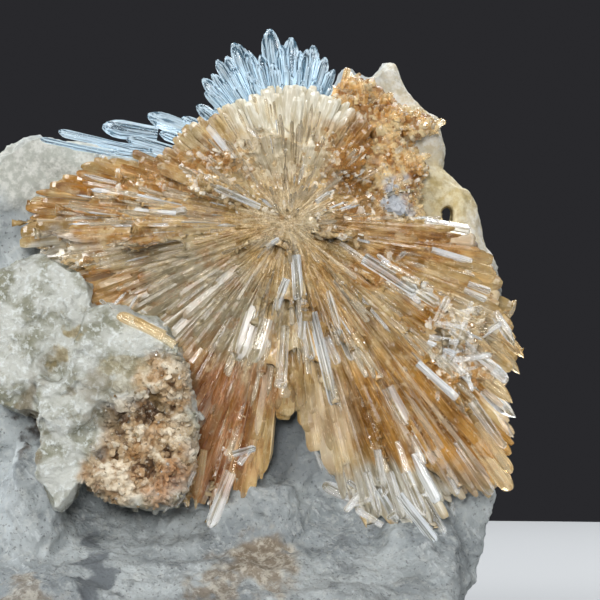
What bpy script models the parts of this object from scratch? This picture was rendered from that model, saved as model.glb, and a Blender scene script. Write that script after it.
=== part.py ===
"""A creedite specimen: a radiating spray of prisms on a piece of pale matrix rock.

It stands on the sawn-flat foot of its rock, with the spray facing -Y.
Lengths below are in millimetres until MM turns them into metres.
"""

import math
import random

import bmesh
import bpy
from mathutils import Matrix, Vector

MM = 0.001

# Driving dimensions
FOOT_FRONT = -12.8
GAP = 0.45
FLATNESS = 0.78

# The point that the main spray radiates from, and the one of the clear fan behind it
HEART = Vector((3.1, -1.0, 33.3))
REAR_HEART = Vector((3.2, -0.6, 36.8))

# Front outline of the whole rock, as (x, z), clockwise from the left end of its foot
ROCK_OUTLINE = [
    (-19.8, -1.5), (-20.8, 3.0), (-21.5, 9.5), (-21.1, 16.5), (-21.7, 23.5), (-21.3, 30.0),
    (-21.5, 35.5), (-20.5, 38.8), (-17.6, 40.3), (-11.2, 39.2), (-7.0, 39.4), (-4.6, 40.6),
    (-2.0, 41.6), (1.0, 43.0), (4.0, 43.4), (6.5, 43.4), (6.8, 45.2), (7.7, 45.7), (10.1, 45.0),
    (11.4, 46.4), (12.1, 45.2), (13.0, 43.6), (14.0, 42.2), (14.8, 42.3), (15.1, 41.0),
    (15.8, 39.4), (15.2, 38.6), (15.0, 37.7), (15.6, 36.7), (16.4, 36.0), (17.4, 36.1),
    (17.8, 34.8), (18.2, 33.0), (18.9, 31.4), (19.8, 29.4), (19.9, 27.5), (19.2, 24.8),
    (18.6, 19.0), (19.0, 14.5), (19.2, 12.0), (19.0, 10.4), (18.9, 8.6), (18.2, 7.5),
    (18.2, 6.0), (18.0, 4.4), (17.0, 3.0), (16.2, 1.8), (15.8, -1.5),
]
# Outline of the thicker stone behind that rim
CORE_OUTLINE = [
    (-19.6, -1.5), (-20.2, 12.0), (-19.6, 34.0), (-16.0, 37.6), (-8.0, 37.0), (-1.0, 38.8),
    (7.0, 41.0), (11.0, 40.0), (13.4, 34.0), (16.2, 28.0), (17.0, 18.0), (16.6, 9.0), (15.0, -1.5),
]
# The uneven bulges of its back and foot, as (x, y, z) of the middle and (half sizes)
BULGES = [
    ((-11.5, 7.6, 29.0), (8.6, 5.4, 9.6)), ((-13.0, 8.0, 10.0), (8.2, 5.6, 12.0)),
    ((-1.5, 8.6, 31.0), (9.4, 4.8, 7.6)), ((-0.5, 8.8, 16.0), (9.0, 5.2, 13.0)),
    ((8.4, 6.6, 32.0), (5.8, 4.4, 8.4)), ((8.8, 8.0, 9.0), (7.8, 5.8, 11.0)),
    ((10.2, 7.4, 22.0), (7.2, 5.0, 8.0)), ((-14.2, -8.2, 2.0), (6.0, 5.6, 3.6)),
    ((-3.6, -9.0, 1.0), (6.6, 5.0, 3.4)), ((8.4, -8.6, 1.6), (6.4, 5.4, 3.8)),
    ((12.8, -1.6, 5.2), (4.2, 4.2, 5.2)), ((-17.4, -1.8, 8.0), (3.4, 3.6, 8.6)),
    ((1.0, -1.2, 9.6), (4.2, 2.8, 3.6)),
]
# Side profile of the foot below the spray, as (y, z)
FOOT_PROFILE = [
    (FOOT_FRONT + 0.4, -1.5), (FOOT_FRONT, 1.0), (FOOT_FRONT + 1.2, 2.8), (-9.0, 4.6),
    (-5.5, 6.4), (-2.0, 8.4), (0.2, 11.0), (1.0, 16.0), (4.0, 18.0), (4.0, -1.5),
]
FOOT_ENDS = (-20.4, 16.2)
FLANGE_HOLE = (15.8, 34.3)

# The chalky lump: a tall left plate, a ridge over it, a crusted belly and a hanging point
PLATE_OUTLINE = [
    (-20.6, 28.6), (-17.6, 30.4), (-15.2, 30.5), (-13.2, 29.6), (-12.4, 27.6), (-12.0, 23.0),
    (-14.5, 19.0), (-17.2, 17.6), (-20.2, 19.4), (-20.9, 24.0),
]
RIDGE_OUTLINE = [
    (-12.6, 26.2), (-11.4, 26.9), (-10.0, 26.4), (-7.6, 25.7), (-6.1, 24.4), (-5.2, 22.4),
    (-5.0, 20.6), (-9.0, 19.0), (-14.0, 17.0), (-16.4, 18.0), (-14.2, 21.5),
]
BELLY_OUTLINE = [
    (-13.0, 20.0), (-5.2, 21.0), (-4.3, 19.4), (-4.1, 17.4), (-4.6, 14.8), (-5.0, 12.6),
    (-5.8, 11.2), (-8.0, 10.8), (-10.4, 11.3), (-12.6, 12.4), (-14.0, 16.0),
]
POINT_OUTLINE = [
    (-17.0, 21.0), (-12.6, 21.0), (-12.6, 15.6), (-13.8, 12.0), (-15.0, 10.5), (-16.0, 12.0),
    (-16.8, 15.4),
]

# How far the main spray reaches from its heart in the X-Z plane: (bearing in degrees, reach)
REACH = [
    (-162, 15.4), (-141, 14.6), (-126, 14.8), (-116, 21.0), (-108, 23.2), (-104, 24.8), (-98, 21.0), (-95, 15.2),
    (-88, 14.6), (-84, 17.2), (-80, 20.4), (-75, 24.0), (-69, 26.0), (-60, 27.0), (-49, 27.4),
    (-43, 24.6), (-38, 21.8), (-29, 21.2), (-19, 18.4), (-8, 15.6), (10, 13.4), (30, 10.5),
    (60, 9.8), (90, 10.0), (120, 9.8), (150, 11.0),
]
# The same for its left arm, whose rust-stained blades lie over the others
LEFT_REACH = [
    (156, 12.6), (161, 15.6), (166, 17.6), (173, 20.6), (180, 23.6), (188, 23.4), (195, 19.0),
    (204, 17.0), (213, 14.4),
]

# Single prisms whose points stand free: (x, z of the point, lift towards the viewer, girth)
FREE_PRISMS = [
    (-1.1, 22.6, 17, 1.3), (0.6, 22.4, 18, 1.3), (1.7, 26.4, 34, 0.9), (3.5, 26.2, 33, 1.1),
    (4.5, 22.2, 21, 1.0), (2.5, 19.8, 17, 0.9), (6.7, 19.0, 18, 1.1), (8.2, 22.8, 24, 1.0),
    (15.0, 27.0, 17, 1.7), (13.7, 28.2, 22, 1.2), (-3.0, 36.3, 38, 0.9), (-3.2, 9.3, 4, 1.3),
    (-5.4, 10.7, 6, 1.0), (15.2, 12.6, 7, 1.3), (16.7, 12.0, 5, 1.6), (14.9, 8.4, 4, 1.3),
    (12.2, 9.6, 5, 1.1), (9.6, 9.3, 6, 1.1), (21.8, 22.7, 0, 1.3), (20.6, 20.2, 2, 1.4),
    (20.9, 17.7, 0, 1.3), (20.8, 16.0, 2, 1.4), (20.7, 12.2, 0, 2.6),
]
# Prisms grown across the rest: (x, y, z of the root), (x, y, z of the point), girth
CROSS_PRISMS = [
    ((15.9, -4.0, 27.6), (14.4, -5.6, 24.4), 1.0), ((17.9, -3.6, 26.9), (16.4, -5.6, 23.2), 0.8),
    ((14.2, -4.2, 25.0), (17.8, -5.2, 24.7), 0.9), ((11.8, -4.2, 22.4), (16.8, -5.6, 19.5), 0.9),
    ((17.0, -3.2, 25.8), (20.2, -4.4, 23.8), 1.0), ((18.6, -2.2, 25.0), (20.8, -2.6, 27.4), 1.2),
    ((16.0, -3.8, 22.6), (19.3, -5.0, 20.6), 1.2), ((13.6, -4.0, 26.6), (16.4, -5.4, 25.9), 0.8),
    ((17.4, -3.6, 22.6), (18.6, -5.4, 26.4), 0.8), ((15.0, -3.6, 22.0), (17.3, -5.0, 18.0), 0.9),
    ((13.4, -3.8, 22.0), (15.4, -5.8, 23.6), 0.8), ((14.6, -3.2, 26.6), (18.0, -4.6, 24.6), 1.0),
    ((15.2, -3.0, 24.4), (17.6, -4.8, 21.4), 1.1), ((17.6, -3.0, 22.0), (15.2, -5.0, 26.0), 0.9),
]
# Points of the clear fan at the back: (x, z, girth)
CLEAR_POINTS = [
    (-15.0, 40.4, 0.9), (-11.7, 41.0, 1.5), (-8.2, 41.7, 1.3), (-6.3, 41.0, 1.0),
    (-4.4, 42.2, 1.0), (-4.0, 44.6, 1.2), (-2.6, 46.4, 1.0), (-1.6, 47.8, 1.8),
    (-0.3, 47.4, 1.4), (1.4, 48.8, 1.7), (3.2, 48.2, 1.5), (4.3, 47.2, 1.0), (5.1, 47.5, 1.1),
    (6.1, 46.4, 1.1), (6.7, 45.4, 0.9),
]
CLEAR_MIDDLE = ((2.0, -0.7, 38.4), (5.0, 0.8, 4.2))
# Lumps of the rusty crust on the flange: (x, y, z), (half sizes)
CRUST_LUMPS = [
    ((8.4, -0.6, 43.6), (1.8, 1.2, 1.3)), ((10.6, -0.8, 41.6), (2.2, 1.4, 1.4)),
    ((12.6, -0.6, 41.2), (2.4, 1.0, 0.9)), ((10.2, -1.0, 39.2), (2.0, 1.6, 2.0)),
    ((12.2, -1.0, 37.6), (1.9, 1.5, 1.7)), ((11.2, -1.2, 35.2), (2.0, 1.5, 1.9)),
    ((12.2, -1.0, 32.8), (1.9, 1.4, 2.0)), ((13.2, -0.8, 30.6), (2.2, 1.3, 1.6)),
    ((9.6, -0.8, 37.0), (1.6, 1.3, 1.8)),
]
CRUST_OUTLINE = [
    (6.9, 44.0), (8.2, 44.8), (9.8, 44.0), (11.4, 42.8), (13.0, 42.2), (14.4, 41.9), (14.7, 41.2),
    (13.0, 40.3), (12.6, 39.2), (13.4, 38.4), (13.3, 37.4), (12.5, 36.8), (12.9, 34.8),
    (13.6, 32.4), (13.4, 30.2), (11.4, 29.6), (9.4, 31.4), (7.8, 34.0), (6.8, 39.0),
]


def clear_scene():
    for obj in list(bpy.data.objects):
        bpy.data.objects.remove(obj)


def new_collection(name, shown=True):
    collection = bpy.data.collections.new(name)
    collection.hide_render = not shown
    bpy.context.scene.collection.children.link(collection)
    return collection


def finish(name, colour, roughness, transmission=0.0):
    """A plain Principled material."""
    material = bpy.data.materials.new(name)
    material.use_nodes = True
    shader = material.node_tree.nodes["Principled BSDF"]
    shader.inputs["Base Color"].default_value = (*colour, 1.0)
    shader.inputs["Roughness"].default_value = roughness
    shader.inputs["Metallic"].default_value = 0.0
    shader.inputs["Transmission Weight"].default_value = transmission
    return material


def add_mesh(name, bm, collection):
    mesh = bpy.data.meshes.new(name)
    bm.to_mesh(mesh)
    bm.free()
    obj = bpy.data.objects.new(name, mesh)
    collection.objects.link(obj)
    return obj


def dress(obj, material):
    obj.data.materials.clear()
    obj.data.materials.append(material)
    for face in obj.data.polygons:
        face.material_index = 0


def settle(obj):
    """Makes the object's evaluated shape its plain mesh."""
    graph = bpy.context.evaluated_depsgraph_get()
    mesh = bpy.data.meshes.new_from_object(obj.evaluated_get(graph))
    obj.modifiers.clear()
    obj.data = mesh


def slab(outline, front, back, collection):
    """A flat outline in the X-Z plane, made a block that runs from front to back along Y."""
    curve = bpy.data.curves.new("slab", "CURVE")
    curve.dimensions = "2D"
    curve.fill_mode = "BOTH"
    curve.extrude = (back - front) / 2 * MM
    spline = curve.splines.new("POLY")
    spline.points.add(len(outline) - 1)
    for point, (x, z) in zip(spline.points, outline):
        point.co = (x * MM, z * MM, 0.0, 1.0)
    spline.use_cyclic_u = True
    obj = bpy.data.objects.new("slab", curve)
    obj.rotation_euler.x = math.pi / 2
    obj.location.y = (front + back) / 2 * MM
    collection.objects.link(obj)
    return obj


def beam(profile, left, right, collection):
    """A flat profile in the Y-Z plane, made a block that runs from left to right along X."""
    obj = slab(profile, left, right, collection)
    obj.location.y = 0.0
    obj.rotation_euler = (math.pi / 2, 0.0, math.pi / 2)
    obj.location.x = (left + right) / 2 * MM
    return obj


def bulge(centre, half_sizes, collection, turn=0.0):
    """A coarse ball with flat facets, turned about Y by that angle."""
    bm = bmesh.new()
    bmesh.ops.create_icosphere(bm, subdivisions=1, radius=1.1)
    bmesh.ops.rotate(bm, matrix=Matrix.Rotation(turn, 3, "Y"), verts=bm.verts)
    bmesh.ops.scale(bm, vec=Vector(half_sizes) * MM, verts=bm.verts)
    obj = add_mesh("bulge", bm, collection)
    obj.location = Vector(centre) * MM
    return obj


def gather(name, blocks, collection):
    """One mesh of all the blocks, in world space. The blocks are removed."""
    bpy.context.view_layer.update()
    graph = bpy.context.evaluated_depsgraph_get()
    bm = bmesh.new()
    for block in blocks:
        mesh = bpy.data.meshes.new_from_object(block.evaluated_get(graph))
        mesh.transform(block.matrix_world)
        bm.from_mesh(mesh)
    for block in blocks:
        bpy.data.objects.remove(block)
    bmesh.ops.remove_doubles(bm, verts=bm.verts, dist=0.001 * MM)
    return add_mesh(name, bm, collection)


def add_relief(obj, kind, grain, depth, name):
    """Displaces the surface by a noise of that grain size and depth."""
    texture = bpy.data.textures.new(name, kind)
    texture.noise_scale = grain * MM
    relief = obj.modifiers.new(name, "DISPLACE")
    relief.texture = texture
    relief.texture_coords = "GLOBAL"
    relief.strength = depth * MM
    relief.mid_level = 0.5


def rough_stone(obj, voxel, smoothing, coarse, fine, triangles):
    """Melts overlapping blocks into one broken-stone surface of about that many triangles."""
    melt = obj.modifiers.new("melt", "REMESH")
    melt.mode = "VOXEL"
    melt.voxel_size = voxel * MM
    ease = obj.modifiers.new("ease", "SMOOTH")
    ease.factor = 0.5
    ease.iterations = smoothing
    add_relief(obj, "VORONOI", *coarse, obj.name + " facets")
    add_relief(obj, "CLOUDS", *fine, obj.name + " grain")
    settle(obj)
    thin = obj.modifiers.new("thin", "DECIMATE")
    thin.ratio = triangles / (2 * len(obj.data.polygons))
    settle(obj)


def swollen(obj, collection, voxel=0.4):
    """A hidden copy of the object, thicker all round by the gap that its neighbours keep."""
    copy = bpy.data.objects.new(obj.name + " clearance", obj.data.copy())
    collection.objects.link(copy)
    swell = copy.modifiers.new("swell", "DISPLACE")
    swell.strength = GAP * MM
    swell.mid_level = 0.0
    melt = copy.modifiers.new("melt", "REMESH")
    melt.mode = "VOXEL"
    melt.voxel_size = voxel * MM
    settle(copy)
    thin = copy.modifiers.new("thin", "DECIMATE")
    thin.ratio = len(obj.data.polygons) / (2 * len(copy.data.polygons))
    settle(copy)
    return hide(copy)


def hide(obj):
    obj.hide_render = True
    obj.display_type = "WIRE"
    return obj


def cut_by(obj, cutter):
    cut = obj.modifiers.new("cut by " + cutter.name, "BOOLEAN")
    cut.operation = "DIFFERENCE"
    cut.solver = "EXACT"
    cut.object = cutter


def join_to(obj, other):
    join = obj.modifiers.new("join", "BOOLEAN")
    join.operation = "UNION"
    join.solver = "EXACT"
    join.use_self = True
    join.object = other


def keep_largest(obj):
    """Drops the loose chips that a cut leaves."""
    bm = bmesh.new()
    bm.from_mesh(obj.data)
    unseen, islands = set(bm.verts), []
    while unseen:
        island, edge_of = set(), [unseen.pop()]
        while edge_of:
            vert = edge_of.pop()
            island.add(vert)
            near = {e.other_vert(vert) for e in vert.link_edges} & unseen
            unseen -= near
            edge_of.extend(near)
        islands.append(island)
    islands.sort(key=len)
    chips = [vert for island in islands[:-1] for vert in island]
    bmesh.ops.delete(bm, geom=chips, context="VERTS")
    bm.to_mesh(obj.data)
    bm.free()


def prism(bm, root, point, girth, sides, root_share, roll, lean=0.2, sharpness=1.5):
    """Adds one crystal: a prism that widens from its root and ends in an uneven point."""
    aim = (point - root).normalized()
    length = (point - root).length
    head = min(girth * sharpness, length * 0.3)
    shaft = length - head
    made = bmesh.ops.create_cone(
        bm, cap_ends=True, segments=sides, radius1=girth * root_share / 2, radius2=girth / 2, depth=shaft
    )["verts"]
    faces = {face for vert in made for face in vert.link_faces}
    end = [face for face in faces if all(vert.co.z > shaft * 0.49 for vert in face.verts)]
    tip = bmesh.ops.poke(bm, faces=end, offset=head)["verts"]
    tip[0].co.x += lean * girth
    place = (
        Matrix.Translation(root + aim * shaft / 2)
        @ aim.to_track_quat("Z", "Y").to_matrix().to_4x4()
        @ Matrix.Rotation(roll, 4, "Z")
        @ Matrix.Diagonal((1.0, FLATNESS, 1.0, 1.0))
    )
    bmesh.ops.transform(bm, matrix=place, verts=made + tip)


def bearing_aim(bearing, lift):
    """The unit direction of a bearing in the X-Z plane, lifted towards the viewer. Degrees."""
    a, b = math.radians(bearing), math.radians(lift)
    return Vector((math.cos(a) * math.cos(b), -math.sin(b), math.sin(a) * math.cos(b)))


def reach_at(bearing, table):
    """The table's reach at that bearing, on straight lines between its rows."""
    for (a, reach_a), (b, reach_b) in zip(table, table[1:]):
        if a <= bearing <= b:
            return reach_a + (reach_b - reach_a) * (bearing - a) / (b - a)
    return table[0][1] if bearing < table[0][0] else table[-1][1]


def spray_layer(bm, table, first, last, count, lift, share, girth, rnd, sharpness=1.5):
    """A row of prisms from the heart, at nearly even bearings, each a share of the full reach."""
    for i in range(count):
        step = (last - first) / count
        bearing = first + step * (i + rnd.uniform(0.2, 0.8))
        tilt = lift + rnd.uniform(-2.0, 2.0)
        length = reach_at(bearing, table) * share * rnd.uniform(0.9, 1.0)
        aim = bearing_aim(bearing, tilt)
        root, point = HEART + aim * 1.6, HEART + aim * length
        wide = girth * rnd.uniform(0.8, 1.15)
        roll, lean = rnd.uniform(0, 3), rnd.uniform(-0.25, 0.25)
        prism(bm, root * MM, point * MM, wide * MM, 4, 0.4, roll, lean, sharpness)


def union_of(name, core, bm, collection, cutters):
    """The crystals in bm and their core as one solid."""
    crystals = hide(add_mesh(name + " crystals", bm, cutters))
    solid = add_mesh(name, core, collection)
    join_to(solid, crystals)
    return solid


def is_closed(mesh):
    bm = bmesh.new()
    bm.from_mesh(mesh)
    closed = all(edge.is_manifold for edge in bm.edges) and all(vert.is_manifold for vert in bm.verts)
    bm.free()
    return closed


def thin_slivers(solid, keep):
    """Collapses small faces down to that share of them, or fewer if the surface would open."""
    full = solid.data
    while keep < 1.0:
        solid.data = full.copy()
        thin = solid.modifiers.new("thin", "DECIMATE")
        thin.ratio = keep
        thin.use_collapse_triangulate = True
        settle(solid)
        if is_closed(solid.data):
            return
        keep += 0.03
    solid.data = full


def trimmed(solid, clearances, keep=1.0):
    """The solid with its neighbours' room cut away, loose chips dropped and slivers thinned."""
    for clearance in clearances:
        cut_by(solid, clearance)
    settle(solid)
    keep_largest(solid)
    thin_slivers(solid, keep)
    return solid


def core_ball(centre, half_sizes):
    bm = bmesh.new()
    bmesh.ops.create_icosphere(bm, subdivisions=2, radius=1.0)
    bmesh.ops.scale(bm, vec=Vector(half_sizes) * MM, verts=bm.verts)
    bmesh.ops.translate(bm, vec=Vector(centre) * MM, verts=bm.verts)
    return bm


def floor_cutter(cutters):
    bm = bmesh.new()
    bmesh.ops.create_cube(bm, size=80 * MM)
    bmesh.ops.translate(bm, vec=(0, 0, -40 * MM), verts=bm.verts)
    return hide(add_mesh("floor cut", bm, cutters))


def hole_cutter(cutters):
    bm = bmesh.new()
    bmesh.ops.create_cone(bm, cap_ends=True, segments=7, radius1=0.5 * MM, radius2=0.5 * MM, depth=30 * MM)
    bmesh.ops.rotate(bm, matrix=Matrix.Rotation(math.pi / 2, 3, "X"), verts=bm.verts)
    bmesh.ops.translate(bm, vec=Vector((FLANGE_HOLE[0], 0, FLANGE_HOLE[1])) * MM, verts=bm.verts)
    return hide(add_mesh("flange hole cut", bm, cutters))


def matrix_rock(collection, cutters):
    blocks = [
        slab(ROCK_OUTLINE, 1.0, 5.0, collection),
        slab(CORE_OUTLINE, 2.0, 8.0, collection),
        beam(FOOT_PROFILE, *FOOT_ENDS, collection),
    ]
    blocks += [bulge(c, h, collection, turn) for turn, (c, h) in enumerate(BULGES)]
    rock = gather("matrix_rock", blocks, collection)
    rough_stone(rock, 0.55, 9, (6.0, 1.5), (2.4, 1.1), 2120)
    cut_by(rock, floor_cutter(cutters))
    cut_by(rock, hole_cutter(cutters))
    settle(rock)
    return rock


def chalky_lump(collection, cutters, rock_clearance):
    blocks = [
        slab(PLATE_OUTLINE, -5.0, 2.0, collection),
        slab(RIDGE_OUTLINE, -8.0, -1.0, collection),
        slab(BELLY_OUTLINE, -7.0, 2.0, collection),
        slab(POINT_OUTLINE, -7.2, -2.5, collection),
    ]
    lump = gather("chalky_lump", blocks, collection)
    rough_stone(lump, 0.4, 4, (3.0, 1.1), (1.3, 0.9), 760)
    return trimmed(lump, [rock_clearance])


def rusty_crust(collection, cutters, rock_clearance):
    blocks = [slab(CRUST_OUTLINE, -0.8, 1.6, collection)]
    blocks += [bulge(c, h, collection, turn) for turn, (c, h) in enumerate(CRUST_LUMPS)]
    crust = gather("rusty_crust", blocks, collection)
    rough_stone(crust, 0.35, 2, (1.6, 0.7), (0.9, 0.5), 520)
    return trimmed(crust, [rock_clearance])


def clear_fan(collection, cutters, clearances):
    rnd = random.Random(8)
    bm = bmesh.new()
    for x, z, girth in CLEAR_POINTS:
        point = Vector((x, REAR_HEART.y + rnd.uniform(-0.5, 0.4), z))
        root = REAR_HEART + (point - REAR_HEART) * 0.25
        prism(bm, root * MM, point * MM, girth * MM, 6, 0.55, rnd.uniform(0, 3))
        inner = REAR_HEART + (point - REAR_HEART) * rnd.uniform(0.8, 0.9) + Vector((0.6, -0.6, 0.0))
        prism(bm, root * MM, inner * MM, girth * 0.8 * MM, 4, 0.5, rnd.uniform(0, 3))
    fan = union_of("clear_fan", core_ball(*CLEAR_MIDDLE), bm, collection, cutters)
    return trimmed(fan, clearances, 0.95)


def long_arms(bm, rnd):
    spray_layer(bm, REACH, -158, 30, 32, -1, 0.97, 2.6, rnd)
    spray_layer(bm, REACH, -156, 26, 24, 7, 0.86, 2.2, rnd)
    spray_layer(bm, REACH, -156, 36, 13, 17, 0.60, 1.9, rnd)


def dome(bm, rnd):
    spray_layer(bm, REACH, 40, 154, 12, 13, 1.0, 2.6, rnd, 0.35)
    spray_layer(bm, REACH, 36, 160, 8, 25, 0.88, 2.4, rnd, 0.35)


def rosette(bm, rnd):
    spray_layer(bm, REACH, -160, 170, 10, 40, 0.48, 1.5, rnd)
    spray_layer(bm, REACH, -170, 170, 6, 65, 0.42, 1.3, rnd)


def left_arms(bm, rnd):
    spray_layer(bm, LEFT_REACH, 157, 212, 13, 2, 0.98, 2.2, rnd)
    spray_layer(bm, LEFT_REACH, 158, 206, 9, 10, 0.88, 1.8, rnd)
    spray_layer(bm, LEFT_REACH, 160, 202, 5, 18, 0.66, 1.5, rnd)


def free_prisms(bm, rnd):
    for x, z, lift, girth in FREE_PRISMS:
        flat = Vector((x - HEART.x, 0.0, z - HEART.z))
        point = HEART + flat + Vector((0.0, -flat.length * math.tan(math.radians(lift)), 0.0))
        root = HEART + (point - HEART) * 0.3
        prism(bm, root * MM, point * MM, girth * MM, 6, 0.5, rnd.uniform(0, 3))


def cross_prisms(bm, rnd):
    for root, point, girth in CROSS_PRISMS:
        prism(bm, Vector(root) * MM, Vector(point) * MM, girth * MM, 6, 0.8, rnd.uniform(0, 3))


def main_spray(collection, cutters, clearances):
    rnd = random.Random(11)
    bm = bmesh.new()
    for grow in (long_arms, dome, rosette, left_arms, free_prisms, cross_prisms):
        grow(bm, rnd)
    spray = union_of("main_spray", core_ball(HEART, (3.4, 2.6, 3.4)), bm, collection, cutters)
    return trimmed(spray, clearances, 0.84)


def main():
    clear_scene()
    cutters = new_collection("cutters", shown=False)
    specimen = new_collection("creedite specimen")

    rock = matrix_rock(specimen, cutters)
    rock_clearance = swollen(rock, cutters)
    lump = chalky_lump(specimen, cutters, rock_clearance)
    lump_clearance = swollen(lump, cutters)
    crust = rusty_crust(specimen, cutters, rock_clearance)
    crust_clearance = swollen(crust, cutters)
    taken = [rock_clearance, lump_clearance, crust_clearance]
    clear = clear_fan(specimen, cutters, taken)
    taken.append(swollen(clear, cutters, 0.3))
    spray = main_spray(specimen, cutters, taken)

    limestone = finish("pale limestone", (0.42, 0.42, 0.40), 0.85)
    chalk = finish("chalk", (0.58, 0.57, 0.52), 0.8)
    rust = finish("rusty crust", (0.40, 0.22, 0.08), 0.6)
    honey = finish("honey creedite", (0.55, 0.38, 0.16), 0.25)
    ice = finish("clear creedite", (0.80, 0.86, 0.90), 0.08, 0.8)
    for obj, material in (
        (rock, limestone), (lump, chalk), (crust, rust), (clear, ice), (spray, honey),
    ):
        dress(obj, material)


main()
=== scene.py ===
import math
import random

import bmesh
import bpy
from mathutils import Euler, Matrix, Vector, noise
from mathutils.bvhtree import BVHTree


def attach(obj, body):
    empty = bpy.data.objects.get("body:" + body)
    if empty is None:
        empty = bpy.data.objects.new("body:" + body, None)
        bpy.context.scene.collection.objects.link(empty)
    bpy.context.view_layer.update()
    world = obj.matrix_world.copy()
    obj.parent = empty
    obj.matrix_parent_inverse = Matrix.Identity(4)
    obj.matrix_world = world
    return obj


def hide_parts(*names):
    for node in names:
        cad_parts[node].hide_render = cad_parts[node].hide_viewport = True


MM = 0.001
ROOT_BODY = "root"

# The photograph's frame: the specimen's millimetres in one of its pixels, and the pixel at x = 0, z = 0
PIXEL = 0.08
PIXEL_X0 = 250
PIXEL_Z0 = 640
PHOTO_WIDTH = 600
CAMERA_DISTANCE = 330.0
SENSOR = 36.0

# The way to the viewer, and the points that the two sprays radiate from
FORWARD = Vector((0.0, -1.0, 0.0))
HEART = Vector((3.1, -1.0, 33.3))
REAR_HEART = Vector((3.2, -0.6, 36.8))

# How far each part of the main spray reaches from its heart: (bearing in degrees, reach)
ARM_REACH = [
    (-166, 16.0), (-141, 15.0), (-126, 14.8), (-116, 21.0), (-108, 23.2), (-104, 24.8), (-98, 21.0),
    (-95, 15.6), (-88, 14.8), (-84, 17.4), (-80, 20.4), (-75, 24.0), (-69, 26.0), (-60, 27.0),
    (-49, 27.2), (-43, 24.6), (-38, 21.6), (-29, 21.0), (-19, 18.2), (-8, 15.4), (10, 13.0),
    (30, 10.5), (40, 10.0),
]
DOME_REACH = [(34, 9.8), (60, 10.4), (90, 10.8), (120, 10.4), (150, 11.2), (162, 12.0)]
LEFT_REACH = [
    (154, 12.4), (161, 15.8), (166, 17.8), (173, 20.4), (180, 21.6), (188, 21.4), (195, 19.0),
    (204, 17.4), (216, 14.6),
]
LONGEST = 30.0
SHORTEST_BLADE = 0.8

# Stained and clean parts of the front, in millimetres: (x, z) of the middle, (half sizes), strength
STAINS = {
    "rust": [
        ((-13.0, 35.6), (9.0, 2.0), 1.0), ((-11.0, 32.6), (6.0, 1.4), 0.9), ((-6.0, 38.6), (6.4, 2.0), 0.8),
        ((-12.0, 28.2), (4.6, 1.8), 0.95), ((9.6, 38.6), (3.6, 4.6), 1.0), ((14.0, 31.4), (5.4, 1.8), 0.8),
        ((10.6, 29.6), (3.4, 1.4), 0.9), ((8.4, 33.6), (2.6, 2.0), 0.6), ((-4.0, 34.6), (1.6, 0.9), 0.7),
    ],
    "red": [
        ((-2.6, 16.6), (3.2, 6.8), 1.0), ((1.2, 20.6), (1.6, 2.4), 0.7), ((-5.2, 20.0), (1.2, 5.0), 0.6),
    ],
    "gold": [
        ((12.6, 18.6), (6.4, 5.0), 1.0), ((17.6, 15.4), (3.6, 3.8), 1.0), ((10.6, 16.6), (2.4, 2.4), 0.5),
        ((14.2, 26.2), (2.0, 1.6), 1.0), ((16.8, 20.6), (3.0, 3.0), 0.9), ((6.6, 25.0), (3.0, 5.0), 0.5),
    ],
    "grey": [
        ((-4.8, 27.4), (6.6, 4.6), 1.0), ((-0.8, 24.0), (2.2, 5.6), 1.0), ((-7.6, 31.0), (5.0, 1.0), 0.8),
        ((3.2, 26.6), (1.4, 4.4), 0.5), ((8.6, 25.4), (1.4, 3.4), 0.3),
    ],
    "pale": [
        ((6.4, 17.6), (2.8, 3.6), 0.3), ((3.0, 42.8), (6.4, 2.6), 1.0), ((2.6, 39.0), (4.2, 2.6), 0.5),
        ((3.2, 33.6), (3.4, 3.0), 0.4),
    ],
    "flange": [((14.4, 35.2), (1.9, 2.0), 1.0), ((13.0, 37.4), (1.2, 1.6), 0.8)],
    "frost": [
        ((10.6, 11.4), (6.0, 3.0), 0.9), ((16.8, 12.6), (2.0, 2.2), 0.4), ((17.2, 24.4), (3.0, 3.4), 0.5),
        ((-16.6, 29.8), (2.6, 2.0), 0.8), ((-15.0, 31.6), (2.6, 1.6), 0.6), ((-2.2, 10.6), (1.6, 1.8), 0.6),
        ((11.4, 35.4), (1.2, 2.1), 1.0),
    ],
}
# Where the spray's front is a jumble of small broken crystals, given the same way
SUGAR = [
    ((-4.4, 37.4), (5.2, 2.4), 1.0), ((-10.0, 37.2), (5.0, 0.9), 0.6), ((-16.0, 29.8), (3.4, 2.2), 1.0),
    ((-11.4, 26.2), (2.6, 2.2), 0.8), ((9.0, 37.4), (4.2, 5.6), 1.0), ((12.8, 30.6), (5.4, 2.2), 0.8),
    ((16.6, 24.0), (4.0, 4.6), 0.6), ((2.6, 20.0), (2.4, 1.8), 0.8), ((-3.0, 14.6), (2.4, 4.0), 0.4),
    ((9.6, 14.6), (4.0, 2.0), 0.3),
    ((12.0, 20.4), (3.0, 2.0), 0.4), ((14.6, 34.6), (2.8, 2.4), 1.0), ((3.0, 35.4), (5.4, 2.8), 0.35),
]
# Where larger clear prisms cross each other on the spray, and where they lie along its outer parts
JUMBLE = [
    ((16.0, 24.6), (3.4, 4.4), 1.0), ((13.4, 29.6), (3.4, 1.6), 0.7), ((11.0, 37.0), (1.6, 2.6), 0.25),
    ((10.4, 12.2), (4.6, 2.8), 0.6), ((17.4, 16.0), (2.6, 4.0), 0.3), ((-3.4, 11.4), (1.8, 2.2), 0.3),
]
OUTER = [((9.6, 13.0), (6.4, 4.6), 1.0), ((17.0, 19.0), (3.4, 3.6), 0.7), ((-2.6, 12.0), (2.6, 3.4), 0.7)]
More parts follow.
